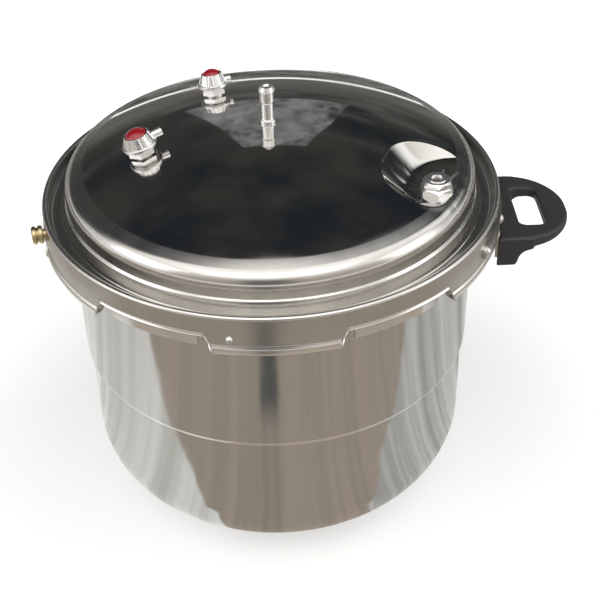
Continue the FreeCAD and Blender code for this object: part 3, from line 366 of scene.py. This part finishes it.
def plastic(name, color, roughness, grain, depth, coat=0.0):
    material, graph = new_material(name)
    x, y, z = graph.place()
    point = graph.vector(x, y, z)
    fine = graph.noise(point, grain, 3.0, 0.6) - 0.5
    wear_and_painted_sheen = graph.noise(point, 60.0, 4.0, 0.6) - 0.5
    close(graph,
          Base_Color=graph.tint(color, 1.0 + 0.25 * wear_and_painted_sheen + 0.1 * fine),
          Roughness=roughness + 0.16 * wear_and_painted_sheen, Coat_Weight=coat, Coat_Roughness=0.08,
          Normal=graph.bump(fine, depth, 0.6))
    return material


finishes = {
    "lid_steel": lid_material(),
    "pot_steel": pot_material(),
    "base_steel": plain_metal("base steel", (0.60, 0.59, 0.57), 0.22, 300.0),
    "core_aluminium": plain_metal("core aluminium", (0.72, 0.72, 0.73), 0.30, 260.0),
    "rack_aluminium": plain_metal("rack aluminium", (0.70, 0.70, 0.71), 0.34, 220.0),
    "gasket_rubber": plastic("gasket rubber", (0.030, 0.030, 0.031), 0.62, 900.0, 0.00010),
    "seal_rubber": plastic("seal rubber", (0.022, 0.022, 0.022), 0.60, 900.0, 0.00008),
    "fitting_chrome": plain_metal("fitting chrome", (0.84, 0.84, 0.84), 0.22, 420.0),
    "hidden_steel": plain_metal("under lid steel", (0.58, 0.58, 0.58), 0.26, 420.0),
    "spring_steel": plain_metal("spring steel", (0.50, 0.50, 0.51), 0.28, 900.0),
    "plunger_brass": plain_metal("plunger brass", (0.66, 0.50, 0.24), 0.24, 500.0),
    "red_plastic": plastic("red plastic", (0.36, 0.010, 0.018), 0.20, 260.0, 0.00002, 0.6),
    "bracket_steel": plain_metal("bracket steel", (0.62, 0.605, 0.58), 0.30, 240.0),
    "rivet_aluminium": plain_metal("rivet aluminium", (0.74, 0.73, 0.71), 0.24, 500.0),
    "black_plastic": plastic("black plastic", (0.036, 0.036, 0.037), 0.50, 1400.0, 0.00012),
    "stud_brass": plain_metal("stud brass", (0.58, 0.49, 0.28), 0.20, 380.0),
}
for part in frame["record"]["subparts"]:
    mesh = nodes[part["node"]].data
    mesh.materials.clear()
    mesh.materials.append(finishes[part["material_slot"]])


# ---------------------------------------------------------------- mesh helpers
def new_piece(name, vertices, faces, body, slot, *replaced):
    """A smooth mesh piece in millimetres that stands for CAD nodes and moves with a body."""
    mesh = bpy.data.meshes.new(name)
    mesh.from_pydata([[c * MM for c in v] for v in vertices], [], faces)
    shell = bmesh.new()
    shell.from_mesh(mesh)
    bmesh.ops.remove_doubles(shell, verts=shell.verts, dist=WELD * MM)
    bmesh.ops.recalc_face_normals(shell, faces=shell.faces)
    shell.to_mesh(mesh)
    shell.free()
    mesh.polygons.foreach_set("use_smooth", [True] * len(mesh.polygons))
    mesh.set_sharp_from_angle(angle=math.radians(CREASE_ANGLE))
    mesh.materials.append(finishes[slot])
    piece = bpy.data.objects.new(name, mesh)
    bpy.context.scene.collection.objects.link(piece)
    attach(piece, body)
    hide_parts(*replaced)
    return piece


def rounded_line(points, turn=8.0):
    """Samples a line through (r, z, bend radius) points, each bend as an arc."""
    line = [Vector(points[0][:2])]
    for before, (r, z, bend), after in zip(points, points[1:], points[2:]):
        corner = Vector((r, z))
        if not bend:
            line.append(corner)
            continue
        back = (Vector(before[:2]) - corner).normalized()
        ahead = (Vector(after[:2]) - corner).normalized()
        half = back.angle(ahead) / 2
        centre = corner + (back + ahead).normalized() * bend / math.sin(half)
        first = corner + back * bend / math.tan(half) - centre
        last = corner + ahead * bend / math.tan(half) - centre
        sweep = first.angle_signed(last)
        steps = max(2, round(math.degrees(abs(sweep)) / turn))
        line += [centre + Matrix.Rotation(-sweep * i / steps, 2) @ first for i in range(steps + 1)]
    return line + [Vector(points[-1][:2])]


def offset_line(line, distance):
    """The same line moved to its left by a distance."""
    moved = []
    for i, point in enumerate(line):
        along = line[min(i + 1, len(line) - 1)] - line[max(i - 1, 0)]
        moved.append(point + Vector((-along.y, along.x)).normalized() * distance)
    return moved


def distances(line):
    """Distance along a line to each of its points."""
    travelled = [0.0]
    for start, end in zip(line, line[1:]):
        travelled.append(travelled[-1] + (end - start).length)
    return travelled


def along_line(line, lengths):
    """Points at the given distances along a line."""
    travelled = distances(line)
    return [Vector((np.interp(s, travelled, [p.x for p in line]),
                    np.interp(s, travelled, [p.y for p in line]))) for s in lengths]


def ring_faces(columns, rows):
    """Quads between neighbouring columns of a closed ring, each column being a closed loop."""
    return [(i * rows + j, i * rows + (j + 1) % rows,
             (i + 1) % columns * rows + (j + 1) % rows, (i + 1) % columns * rows + j)
            for i in range(columns) for j in range(rows)]


# ---------------------------------------------------------------- lid
lid_low, lid_high = [Vector(c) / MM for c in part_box("lid_shell")]
rim_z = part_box("pot_body")[1][2] / MM
relief_low, relief_high = [Vector(c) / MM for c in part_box("relief_body")]
relief_axis = (relief_low + relief_high) / 2
lip_radius = lid_high.y
skirt_radius = lip_radius - LIP_STAND
channel_z = rim_z + CHANNEL_OVER_RIM
crest_z = channel_z + CREST_RISE
skirt_edge_z = crest_z - SKIRT_DEPTH
shoulder_radius = skirt_radius - SHOULDER_INSET
roll_centre = Vector((shoulder_radius - SHOULDER_ROLL, channel_z + SHOULDER_WALL))
dome_centre_z = roll_centre.y - math.sqrt((DOME_CROWN - SHOULDER_ROLL) ** 2 - roll_centre.x ** 2)
recess_z = dome_centre_z + math.sqrt(DOME_CROWN ** 2 - relief_axis.xy.length_squared) - RECESS_SINK


def recess_height(x, y):
    """Height of the recess: its floor inside two circles and their tangents, then a sloping wall."""
    front = relief_axis.xy + Vector(RECESS_FRONT[:2])
    rear = relief_axis.xy + Vector(RECESS_REAR[:2])
    axis = rear - front
    length = axis.length
    axis.normalize()
    offset = Vector((x, y)) - front
    along = offset.dot(axis)
    across = abs(axis.cross(offset))
    lean = (RECESS_REAR[2] - RECESS_FRONT[2]) / length
    share = min(max((along + across * lean / math.sqrt(1 - lean * lean)) / length, 0.0), 1.0)
    spread = math.hypot(along - share * length, across)
    outside = spread - RECESS_FRONT[2] - share * (RECESS_REAR[2] - RECESS_FRONT[2])
    wall = math.tan(math.radians(90 - RECESS_DRAFT))
    return recess_z + wall * (outside + math.hypot(outside, FLOOR_BLEND)) / 2


def soft_lower(first, second, blend):
    """The lower of two heights, with a rounded change from one to the other."""
    mean, half = (first + second) / 2, (first - second) / 2
    return mean - math.hypot(half, blend) + blend * math.exp(-abs(half) / blend)


def lid_outline():
    """Outside of the lid from its middle to the skirt's edge, and from there to the end of a tooth."""
    lean = math.asin(roll_centre.x / (DOME_CROWN - SHOULDER_ROLL))
    start = DOME_CROWN * math.sin(lean)
    radii = [DOME_COARSE * i for i in range(int(RECESS_REACH / DOME_COARSE))]
    steps = int((start - RECESS_REACH) / DOME_FINE)
    radii += [RECESS_REACH + (start - RECESS_REACH) * i / steps for i in range(steps)]
    dome = [Vector((r, dome_centre_z + math.sqrt(DOME_CROWN ** 2 - r * r))) for r in radii]
    turns = [lean + (math.pi / 2 - lean) * i / ROLL_STEPS for i in range(ROLL_STEPS + 1)]
    roll = [roll_centre + SHOULDER_ROLL * Vector((math.sin(t), math.cos(t))) for t in turns]
    foot = shoulder_radius + BEAD_STEP
    channel_end = skirt_radius - CREST_WIDTH
    bead_z = channel_z + SHOULDER_FOOT
    upper = rounded_line([
        (shoulder_radius, roll_centre.y - ROLL_OVERLAP, 0),
        (shoulder_radius, bead_z + BEAD_STEP, BEAD_BEND),
        (foot, bead_z, LID_SHEET + BEAD_BEND),
        (foot + SHOULDER_SLOPE, channel_z, CHANNEL_BEND),
        (channel_end, channel_z, CHANNEL_BEND),
        (channel_end, crest_z, CREST_BEND),
        (skirt_radius, crest_z, CREST_BEND),
        (skirt_radius, skirt_edge_z, 0)])
    stretch = [upper.pop()]
    while stretch[-1].y < skirt_edge_z + EDGE_HEIGHT:
        stretch.append(stretch[-1] + Vector((0.0, EDGE_HEIGHT / EDGE_ROWS)))
    upper += reversed(stretch)
    tooth = rounded_line([
        (skirt_radius, skirt_edge_z, 0),
        (skirt_radius, lid_low.z + TOOTH_LIP, LIP_START),
        (lip_radius, lid_low.z + TOOTH_LIP - LIP_STAND, LIP_CREST),
        (lip_radius, lid_low.z, LIP_BEND),
        (skirt_radius - TOOTH_REACH, lid_low.z, 0)])
    return dome, roll + upper, tooth


def lid_angles():
    """Directions of the lid's columns: closer together at the recess and the ends of the teeth."""
    angles = {round(i * WIDE_STEP, 3) for i in range(round(360 / WIDE_STEP))}
    first, last = RECESS_SPAN
    fine_steps = range(round((last - first) / FINE_STEP))
    angles |= {round((first + i * FINE_STEP) % 360, 3) for i in fine_steps}
    opening = math.degrees(math.asin(GAP_HALF_WIDTH / skirt_radius))
    closing = math.degrees(math.asin((GAP_HALF_WIDTH + TOOTH_TAPER) / skirt_radius))
    fading = math.degrees(LIP_FADE / skirt_radius)
    edges = [opening + (closing - opening) * i / TAPER_STEPS for i in range(TAPER_STEPS + 1)]
    edges += [closing + fading * (i + 1) / TAPER_STEPS for i in range(TAPER_STEPS)]
    for gap in range(LUG_COUNT):
        for side in (-1, 1):
            angles |= {round((gap * 360 / LUG_COUNT + side * e) % 360, 3) for e in edges}
    return sorted(angles)


def tooth_share(angle):
    """How far down the skirt runs: 0 in a gap, 1 on a tooth, above 1 with its inward lip."""
    pitch = 360 / LUG_COUNT
    from_gap = abs((angle + pitch / 2) % pitch - pitch / 2)
    across = skirt_radius * math.sin(math.radians(from_gap)) - GAP_HALF_WIDTH
    share = min(max(across / TOOTH_TAPER, 0.0), 1.0)
    lip = min(max((across - TOOTH_TAPER) / LIP_FADE, 0.0), 1.0)
    return share * share * (3 - 2 * share) + math.sqrt(lip * (2 - lip))


def make_lid():
    dome, shoulder, tooth = lid_outline()
    inner_dome = offset_line(dome + shoulder, -LID_SHEET)
    inner_tooth = offset_line(tooth, -LID_SHEET)
    inner_tooth[0] = inner_dome[-1]
    drop = skirt_edge_z - lid_low.z
    heights = [skirt_edge_z - p.y for p in tooth]
    lengths = distances(tooth)
    inner_length = distances(inner_tooth)[-1]
    vertices, angles = [], lid_angles()
    for degrees in angles:
        angle = math.radians(degrees)
        share = tooth_share(degrees)
        reach = float(np.interp(min(share, 1.0) * drop, heights[:-1], lengths[:-1]))
        lip_share = max(share - 1.0, 0.0)
        inner_reach = reach * INNER_SHARE
        ends = [reach + (lengths[-1] - reach) * lip_share,
                inner_reach + (inner_length - inner_reach) * lip_share]
        flare = EDGE_FLARE * (1 - lip_share)
        cut_z = skirt_edge_z - min(share, 1.0) * drop
        tails = [along_line(line, [end * i / TOOTH_STEPS for i in range(1, TOOTH_STEPS + 1)])
                 for line, end in zip((tooth, inner_tooth), ends)]
        outer = dome + shoulder + tails[0]
        inner = inner_dome + tails[1]
        column = []
        for i, (out, under) in enumerate(zip(outer, inner)):
            lowered = out.y
            edge = min(max(1 - (out.y - cut_z) / EDGE_HEIGHT, 0.0), 1.0) if i >= len(dome) else 0.0
            if i < len(dome) and out.x > RECESS_REACH / 2:
                floor = recess_height(out.x * math.cos(angle), out.x * math.sin(angle))
                lowered = soft_lower(out.y, floor, RIM_BLEND)
            sink = out.y - lowered
            lip = flare * edge * edge
            column.append(((out.x + lip, lowered), (max(under.x + lip, 0.0), under.y - sink)))
        loop = [c[0] for c in column] + [c[1] for c in reversed(column)]
        vertices += [(r * math.cos(angle), r * math.sin(angle), z) for r, z in loop]
    rows = len(vertices) // len(angles)
    faces = [f for f in ring_faces(len(angles), rows) if f[1] % rows != 0]
    new_piece("domed_lid", vertices, faces, "lid", "lid_steel", "lid_shell")


# ---------------------------------------------------------------- handle
def make_grip():
    """Moulded loop and its foot, melted into one soft-edged piece."""
    low, high = [Vector(c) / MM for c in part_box("handle_grip")]
    half = high.y
    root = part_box("handle_bracket")[1][0] / MM + GRIP_GAP
    foot_out = root + GRIP_FOOT
    hole_end = foot_out + GRIP_HOLE_REACH
    middle = Vector(((foot_out + hole_end) / 2, 0.0))

    def hit(direction, inside):
        """Distance from the middle of the hole to the edge of a region."""
        near, far = 0.0, 2 * half
        for _ in range(HALVINGS):
            reach = (near + far) / 2
            near, far = (reach, far) if inside(middle + direction * reach) else (near, reach)
        return near

    def in_plan(point):
        past = max(point.x - (high.x - GRIP_CORNER), 0.0)
        beside = max(abs(point.y) - (half - GRIP_CORNER), 0.0)
        return point.length > root and abs(point.y) < half and math.hypot(past, beside) < GRIP_CORNER

    def in_hole(point):
        corner = GRIP_HOLE_CORNER
        past = max(abs(point.x - middle.x) - (hole_end - middle.x - corner), 0.0)
        beside = max(abs(point.y) - (GRIP_HOLE_WIDTH / 2 - corner), 0.0)
        return math.hypot(past, beside) < corner

    vertices = []
    turns = [2 * math.pi * (i + 0.5) / GRIP_SECTION for i in range(GRIP_SECTION)]
    section = [(math.cos(t), math.sin(t)) for t in turns]
    for i in range(GRIP_COLUMNS):
        angle = 2 * math.pi * i / GRIP_COLUMNS
        direction = Vector((math.cos(angle), math.sin(angle)))
        inner, outer = hit(direction, in_hole), hit(direction, in_plan)
        for across, up in section:
            soft = [math.copysign(abs(c) ** GRIP_SQUARENESS, c) for c in (across, up)]
            reach = (inner + outer) / 2 + soft[0] * (outer - inner) / 2
            point = middle + direction * reach
            share = min(max((point.x - foot_out) / (high.x - foot_out), 0.0), 1.0)
            top = high.z - GRIP_TIP_DROP * share
            thick = GRIP_THICKNESS + (GRIP_TIP_THICKNESS - GRIP_THICKNESS) * share
            vertices.append((point.x, point.y, top - thick / 2 + soft[1] * thick / 2))
    faces = ring_faces(GRIP_COLUMNS, GRIP_SECTION)

    base = len(vertices)
    for k in range(FOOT_COLUMNS + 1):
        y = -half + 2 * half * k / FOOT_COLUMNS
        end = 1 - abs(y / half) ** FOOT_END_POWER
        full = 1 - FOOT_END_TAPER * (1 - end)
        back = math.sqrt(root ** 2 - y * y)
        toe = back + (root + GRIP_TOE - back) * full
        out = back + (foot_out - back) * full
        floor = low.z + FOOT_END_RISE * (1 - end)
        top = high.z - FOOT_TOP_SINK
        under = high.z - GRIP_THICKNESS
        beside_hole = abs(y) > GRIP_HOLE_WIDTH / 2 + FOOT_HOLE_MARGIN
        flare = GRIP_THROAT if beside_hole else FOOT_HOLE_THROAT
        outline = rounded_line([
            (back, top, 0), (out + flare, top, FOOT_BEND), (out + flare, under, FOOT_BEND),
            (out, under - flare / 4, flare), (toe, floor, FOOT_TOE_BEND),
            (back, floor, 0), (back, top, 0)])
        around = distances(outline)[-1]
        outline = along_line(outline, [around * i / FOOT_ROWS for i in range(FOOT_ROWS)])
        vertices += [(p.x, y, p.y) for p in outline]
    rows = len(outline)
    faces += [(base + i * rows + j, base + i * rows + (j + 1) % rows,
               base + (i + 1) * rows + (j + 1) % rows, base + (i + 1) * rows + j)
              for i in range(FOOT_COLUMNS) for j in range(rows)]
    last = base + FOOT_COLUMNS * rows
    faces += [tuple(range(base, base + rows)), tuple(range(last, last + rows))]
    grip = new_piece("moulded_grip", vertices, faces, "lid", "black_plastic", "handle_grip")
    melt = grip.modifiers.new("melt", "REMESH")
    melt.mode = "VOXEL"
    melt.voxel_size = GRIP_VOXEL * MM
    melt.use_smooth_shade = True
    soften = grip.modifiers.new("soften", "SMOOTH")
    soften.iterations = GRIP_SMOOTHING
    soften.factor = GRIP_SMOOTHING_SHARE


# ---------------------------------------------------------------- springs
def make_coils():
    """Copies of the springs that move with the lid; their axis, seat and length are worked out, but
    nothing shortens them.
    """
    for joint in frame["record"]["behaviour"]["joints"]:
        for soft in joint.get("deforming_nodes", []):
            spring = nodes[soft["node"]]
            coil = bpy.data.objects.new(soft["node"] + "_coil", spring.data.copy())
            bpy.context.scene.collection.objects.link(coil)
            coil.matrix_world = spring.matrix_world
            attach(coil, "lid")
            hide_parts(soft["node"])
            axis = Vector(joint["axis"]).normalized()
            points = [spring.matrix_world @ v.co for v in spring.data.vertices]
            heights = [p.dot(axis) for p in points]
            middle = sum(points, Vector()) / len(points)
            seat = middle + axis * (max(heights) - middle.dot(axis))
            length = max(heights) - min(heights)
            1 - joint["range_m"][1] / length
            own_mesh(coil)


make_lid()
make_grip()
make_coils()


# ---------------------------------------------------------------- studio
def ray_kinds(graph):
    """1 for the rays that carry the backdrop: straight to the camera, by gloss or through glass."""
    camera, glossy, through = [graph.add("LightPath", {}, {}, output=name)
                               for name in ("Is Camera Ray", "Is Glossy Ray", "Is Transmission Ray")]
    either = camera.maths("MAXIMUM", camera, glossy)
    return either.maths("MAXIMUM", either, through)


def make_floor():
    mesh = bpy.data.meshes.new("floor")
    corners = [(math.cos(a) * FLOOR_RADIUS, math.sin(a) * FLOOR_RADIUS, 0.0)
               for a in (2 * math.pi * i / FLOOR_SIDES for i in range(FLOOR_SIDES))]
    mesh.from_pydata(corners, [], [list(range(FLOOR_SIDES))])
    floor = bpy.data.objects.new("floor", mesh)
    bpy.context.scene.collection.objects.link(floor)
    material, graph = new_material("floor paint")
    x, y, z = graph.place()
    away = (x * x + y * y) ** 0.5
    # painted shade: the floor glows less near the canner, for its shadow and for what the steel
    # reflects there
    glow = (FLOOR_GLOW[0] + (FLOOR_GLOW[1] - FLOOR_GLOW[0]) * away.above(0.40, 0.45)) * ray_kinds(graph)
    close(graph, Base_Color=(0.57, 0.57, 0.57, 1.0), Roughness=0.9, Specular_IOR_Level=0.0,
          Emission_Color=graph.tint((1.0, 1.0, 1.0), glow), Emission_Strength=1.0)
    mesh.materials.append(material)


def flat(points, height=CARD_HEIGHT):
    """Corners of a level card."""
    return [(x, y, height) for x, y in points]


def make_card(name, corners, colors, stripe=0.0):
    """A streaked card that is seen only in the polished steel, a painted reflection; the streaks point
    at the canner.
    """
    mesh = bpy.data.meshes.new(name)
    mesh.from_pydata(corners, [], [list(range(len(corners)))])
    card = bpy.data.objects.new(name, mesh)
    bpy.context.scene.collection.objects.link(card)
    material, graph = new_material(name)
    x, y, z = graph.place()
    away = (x * x + y * y) ** 0.5
    around = graph.vector(x / away * 7.0, y / away * 7.0, away * 0.5 + z * 2.6)
    broad = graph.noise(around, 1.0, 3.0, 0.6)
    narrow = graph.noise(around, 3.4, 3.0, 0.6)
    color = graph.blend(broad.above(0.5, 0.34), (*colors[0], 1.0), (*colors[1], 1.0))
    color = graph.blend(narrow.above(0.52, 0.30) * 0.55, color, (*colors[2], 1.0))
    reach = away + FAR_LEAN * y.maths("MAXIMUM", y, 0.0)
    far = reach.above(FAR_START, 0.05) * away.below(FAR_END, 0.8)
    color = graph.blend(far * 0.8, color, (0.36, 0.32, 0.27, 1.0))
    if stripe:
        east = x / away
        # painted shade: a dark strip on the front card that the wall reflects
        dark = east.above(STRIPE[0], 0.045) * east.below(STRIPE[1], 0.045) * (0.0 - y).above(0.0, 0.01)
        dark = dark * (0.18 + 0.82 * away.above(0.325, 0.05))
        color = graph.blend(dark * stripe, color, (0.075, 0.085, 0.09, 1.0))
    shine = graph.add("Emission", {}, {"Color": color, "Strength": 1.0})
    graph.add("OutputMaterial", {}, {"Surface": shine})
    mesh.materials.append(material)
    card.visible_camera = False
    card.visible_diffuse = False
    card.visible_shadow = False
    card.visible_transmission = False


def make_world():
    """A room that is bright above the front, pale to the sides, and dark with soft cloud behind."""
    world = bpy.data.worlds.new("studio")
    world.use_nodes = True
    bpy.context.scene.world = world
    graph = Graph(world.node_tree)
    toward = graph.add("TexCoord", output="Generated")
    east, north, up = [graph.add("SeparateXYZ", {}, {"Vector": toward}, output=axis) for axis in "XYZ"]
    sides = east.size().above(0.90, 0.12) * up.below(0.45, 0.3)
    front = (0.0 - north).above(-0.19, 0.05)
    level = (east * east + north * north) ** 0.5
    window = (east / level).above(0.82, 0.22) * up.above(0.40, 0.25)
    aside = east / level
    stripe = aside.above(SHADE[0], 0.05) * aside.below(SHADE[1], 0.05) * up.below(0.55, 0.2)
    cloud = graph.noise(graph.vector(east * 2.2, north * 2.2, up * 7.0), 1.0, 5.0, 0.6)
    low = up.below(0.42, 0.5)
    patch = graph.noise(graph.vector(east * 3.0, north * 3.0, up * 3.0), 1.0, 3.0, 0.55)
    dusk = graph.blend(patch.above(0.5, 0.3), (0.020, 0.024, 0.030, 1.0), (0.050, 0.052, 0.046, 1.0))
    room = graph.blend(cloud.above(0.58, 0.22) * low, dusk, (0.15, 0.15, 0.145, 1.0))
    room = graph.blend(window, room, (1.3, 1.3, 1.28, 1.0))
    sky = graph.blend(up.above(0.62, 0.8), (0.50, 0.46, 0.42, 1.0), (1.45, 1.42, 1.38, 1.0))
    sky = graph.blend(stripe * 0.85, sky, (0.07, 0.07, 0.075, 1.0))
    haze = north.above(0.72, 0.3) * up.below(0.16, 0.2)
    room = graph.blend(haze * 0.6, room, (0.22, 0.21, 0.19, 1.0))
    room = graph.blend(front, room, sky)
    room = graph.blend(sides, room, (0.80, 0.80, 0.79, 1.0))
    camera = graph.add("LightPath", {}, {}, output="Is Camera Ray")
    color = graph.blend(camera, room, (1.0, 1.0, 1.0, 1.0))
    shell = graph.add("Background", {}, {"Color": color, "Strength": 1.0})
    graph.add("OutputWorld", {}, {"Surface": shell})


def make_softbox(name, place, aim, width, height, power):
    data = bpy.data.lights.new(name, "AREA")
    data.shape = "RECTANGLE"
    data.size, data.size_y, data.energy = width, height, power
    lamp = bpy.data.objects.new(name, data)
    lamp.location = place
    lamp.rotation_euler = (Vector(aim) - Vector(place)).to_track_quat("-Z", "Y").to_euler()
    bpy.context.scene.collection.objects.link(lamp)


def make_camera():
    data = bpy.data.cameras.new("camera")
    data.sensor_width = 36.0
    data.lens = CAMERA_LENS
    data.shift_x, data.shift_y = CAMERA_SHIFT
    tilt, roll = math.radians(CAMERA_ELEVATION), math.radians(CAMERA_ROLL)
    ahead = Vector((0.0, math.cos(tilt), -math.sin(tilt)))
    level = Vector((1.0, 0.0, 0.0))
    upward = level.cross(ahead)
    right = math.cos(roll) * level + math.sin(roll) * upward
    top = -math.sin(roll) * level + math.cos(roll) * upward
    turn = Matrix((right, top, -ahead)).transposed().to_4x4()
    camera = bpy.data.objects.new("camera", data)
    camera.matrix_world = Matrix.Translation(
        Vector((0.0, 0.0, CAMERA_AIM_HEIGHT)) - ahead * CAMERA_DISTANCE) @ turn
    bpy.context.scene.collection.objects.link(camera)
    bpy.context.scene.camera = camera


make_camera()
make_floor()
make_world()
# cards of painted reflection: a brown front with a dark strip for shaded ground, pale sides, a dark
# back and a grey far patch
left_seam = flat([(-3.0, -0.18), (-0.14, -0.18), (-0.075, -0.165), (-0.045, -0.12)])
right_seam = flat([(0.07, -0.10), (0.085, -0.14), (0.16, -0.17), (3.0, -0.165)])
make_card("front_card", left_seam + right_seam + flat([(3.0, -3.0), (-3.0, -3.0)]),
          [(0.43, 0.375, 0.31), (0.47, 0.395, 0.35), (0.33, 0.305, 0.25)], 0.85)
make_card("left_card", left_seam + flat([(-0.1, 0.0), (-0.1, 1.0), (-3.0, 1.0)]),
          [(0.95, 0.95, 0.94), (0.62, 0.62, 0.58), (0.80, 0.80, 0.78)])
make_card("right_card", right_seam + flat([(3.0, 1.0), (0.1, 1.0), (0.1, 0.0)]),
          [(0.66, 0.66, 0.65), (0.38, 0.38, 0.36), (0.86, 0.86, 0.84)])
make_card("back_card",
          flat([(-4.0, 0.35), (-1.15, 0.35), (-0.95, 0.9), (0.0, 1.3), (0.95, 0.9), (1.15, 0.35),
                (4.0, 0.35), (4.0, 9.0), (-4.0, 9.0)], BACK_CARD_HEIGHT),
          [(0.03, 0.033, 0.035), (0.16, 0.16, 0.155), (0.34, 0.33, 0.32)])
make_softbox("top lamp", (0.0, -0.95, 1.75), (0, 0, 0.25), 2.0, 0.9, 4.5)
make_softbox("left lamp", (-1.7, -0.6, 1.0), (0, 0, 0.15), 1.2, 1.1, 5)
make_softbox("right lamp", (1.8, -0.5, 0.9), (0, 0, 0.15), 1.0, 1.1, 4.5)
make_card("far_card", [(-0.36, 1.5, 0.72), (0.36, 1.5, 0.72), (0.38, 1.7, 1.25), (0.30, 1.8, 1.85),
                       (-0.20, 1.8, 1.85), (-0.30, 1.7, 1.25)],
          [(0.26, 0.26, 0.27), (0.05, 0.05, 0.055), (0.40, 0.40, 0.41)])

view = bpy.context.scene.view_settings
view.view_transform = "Standard"
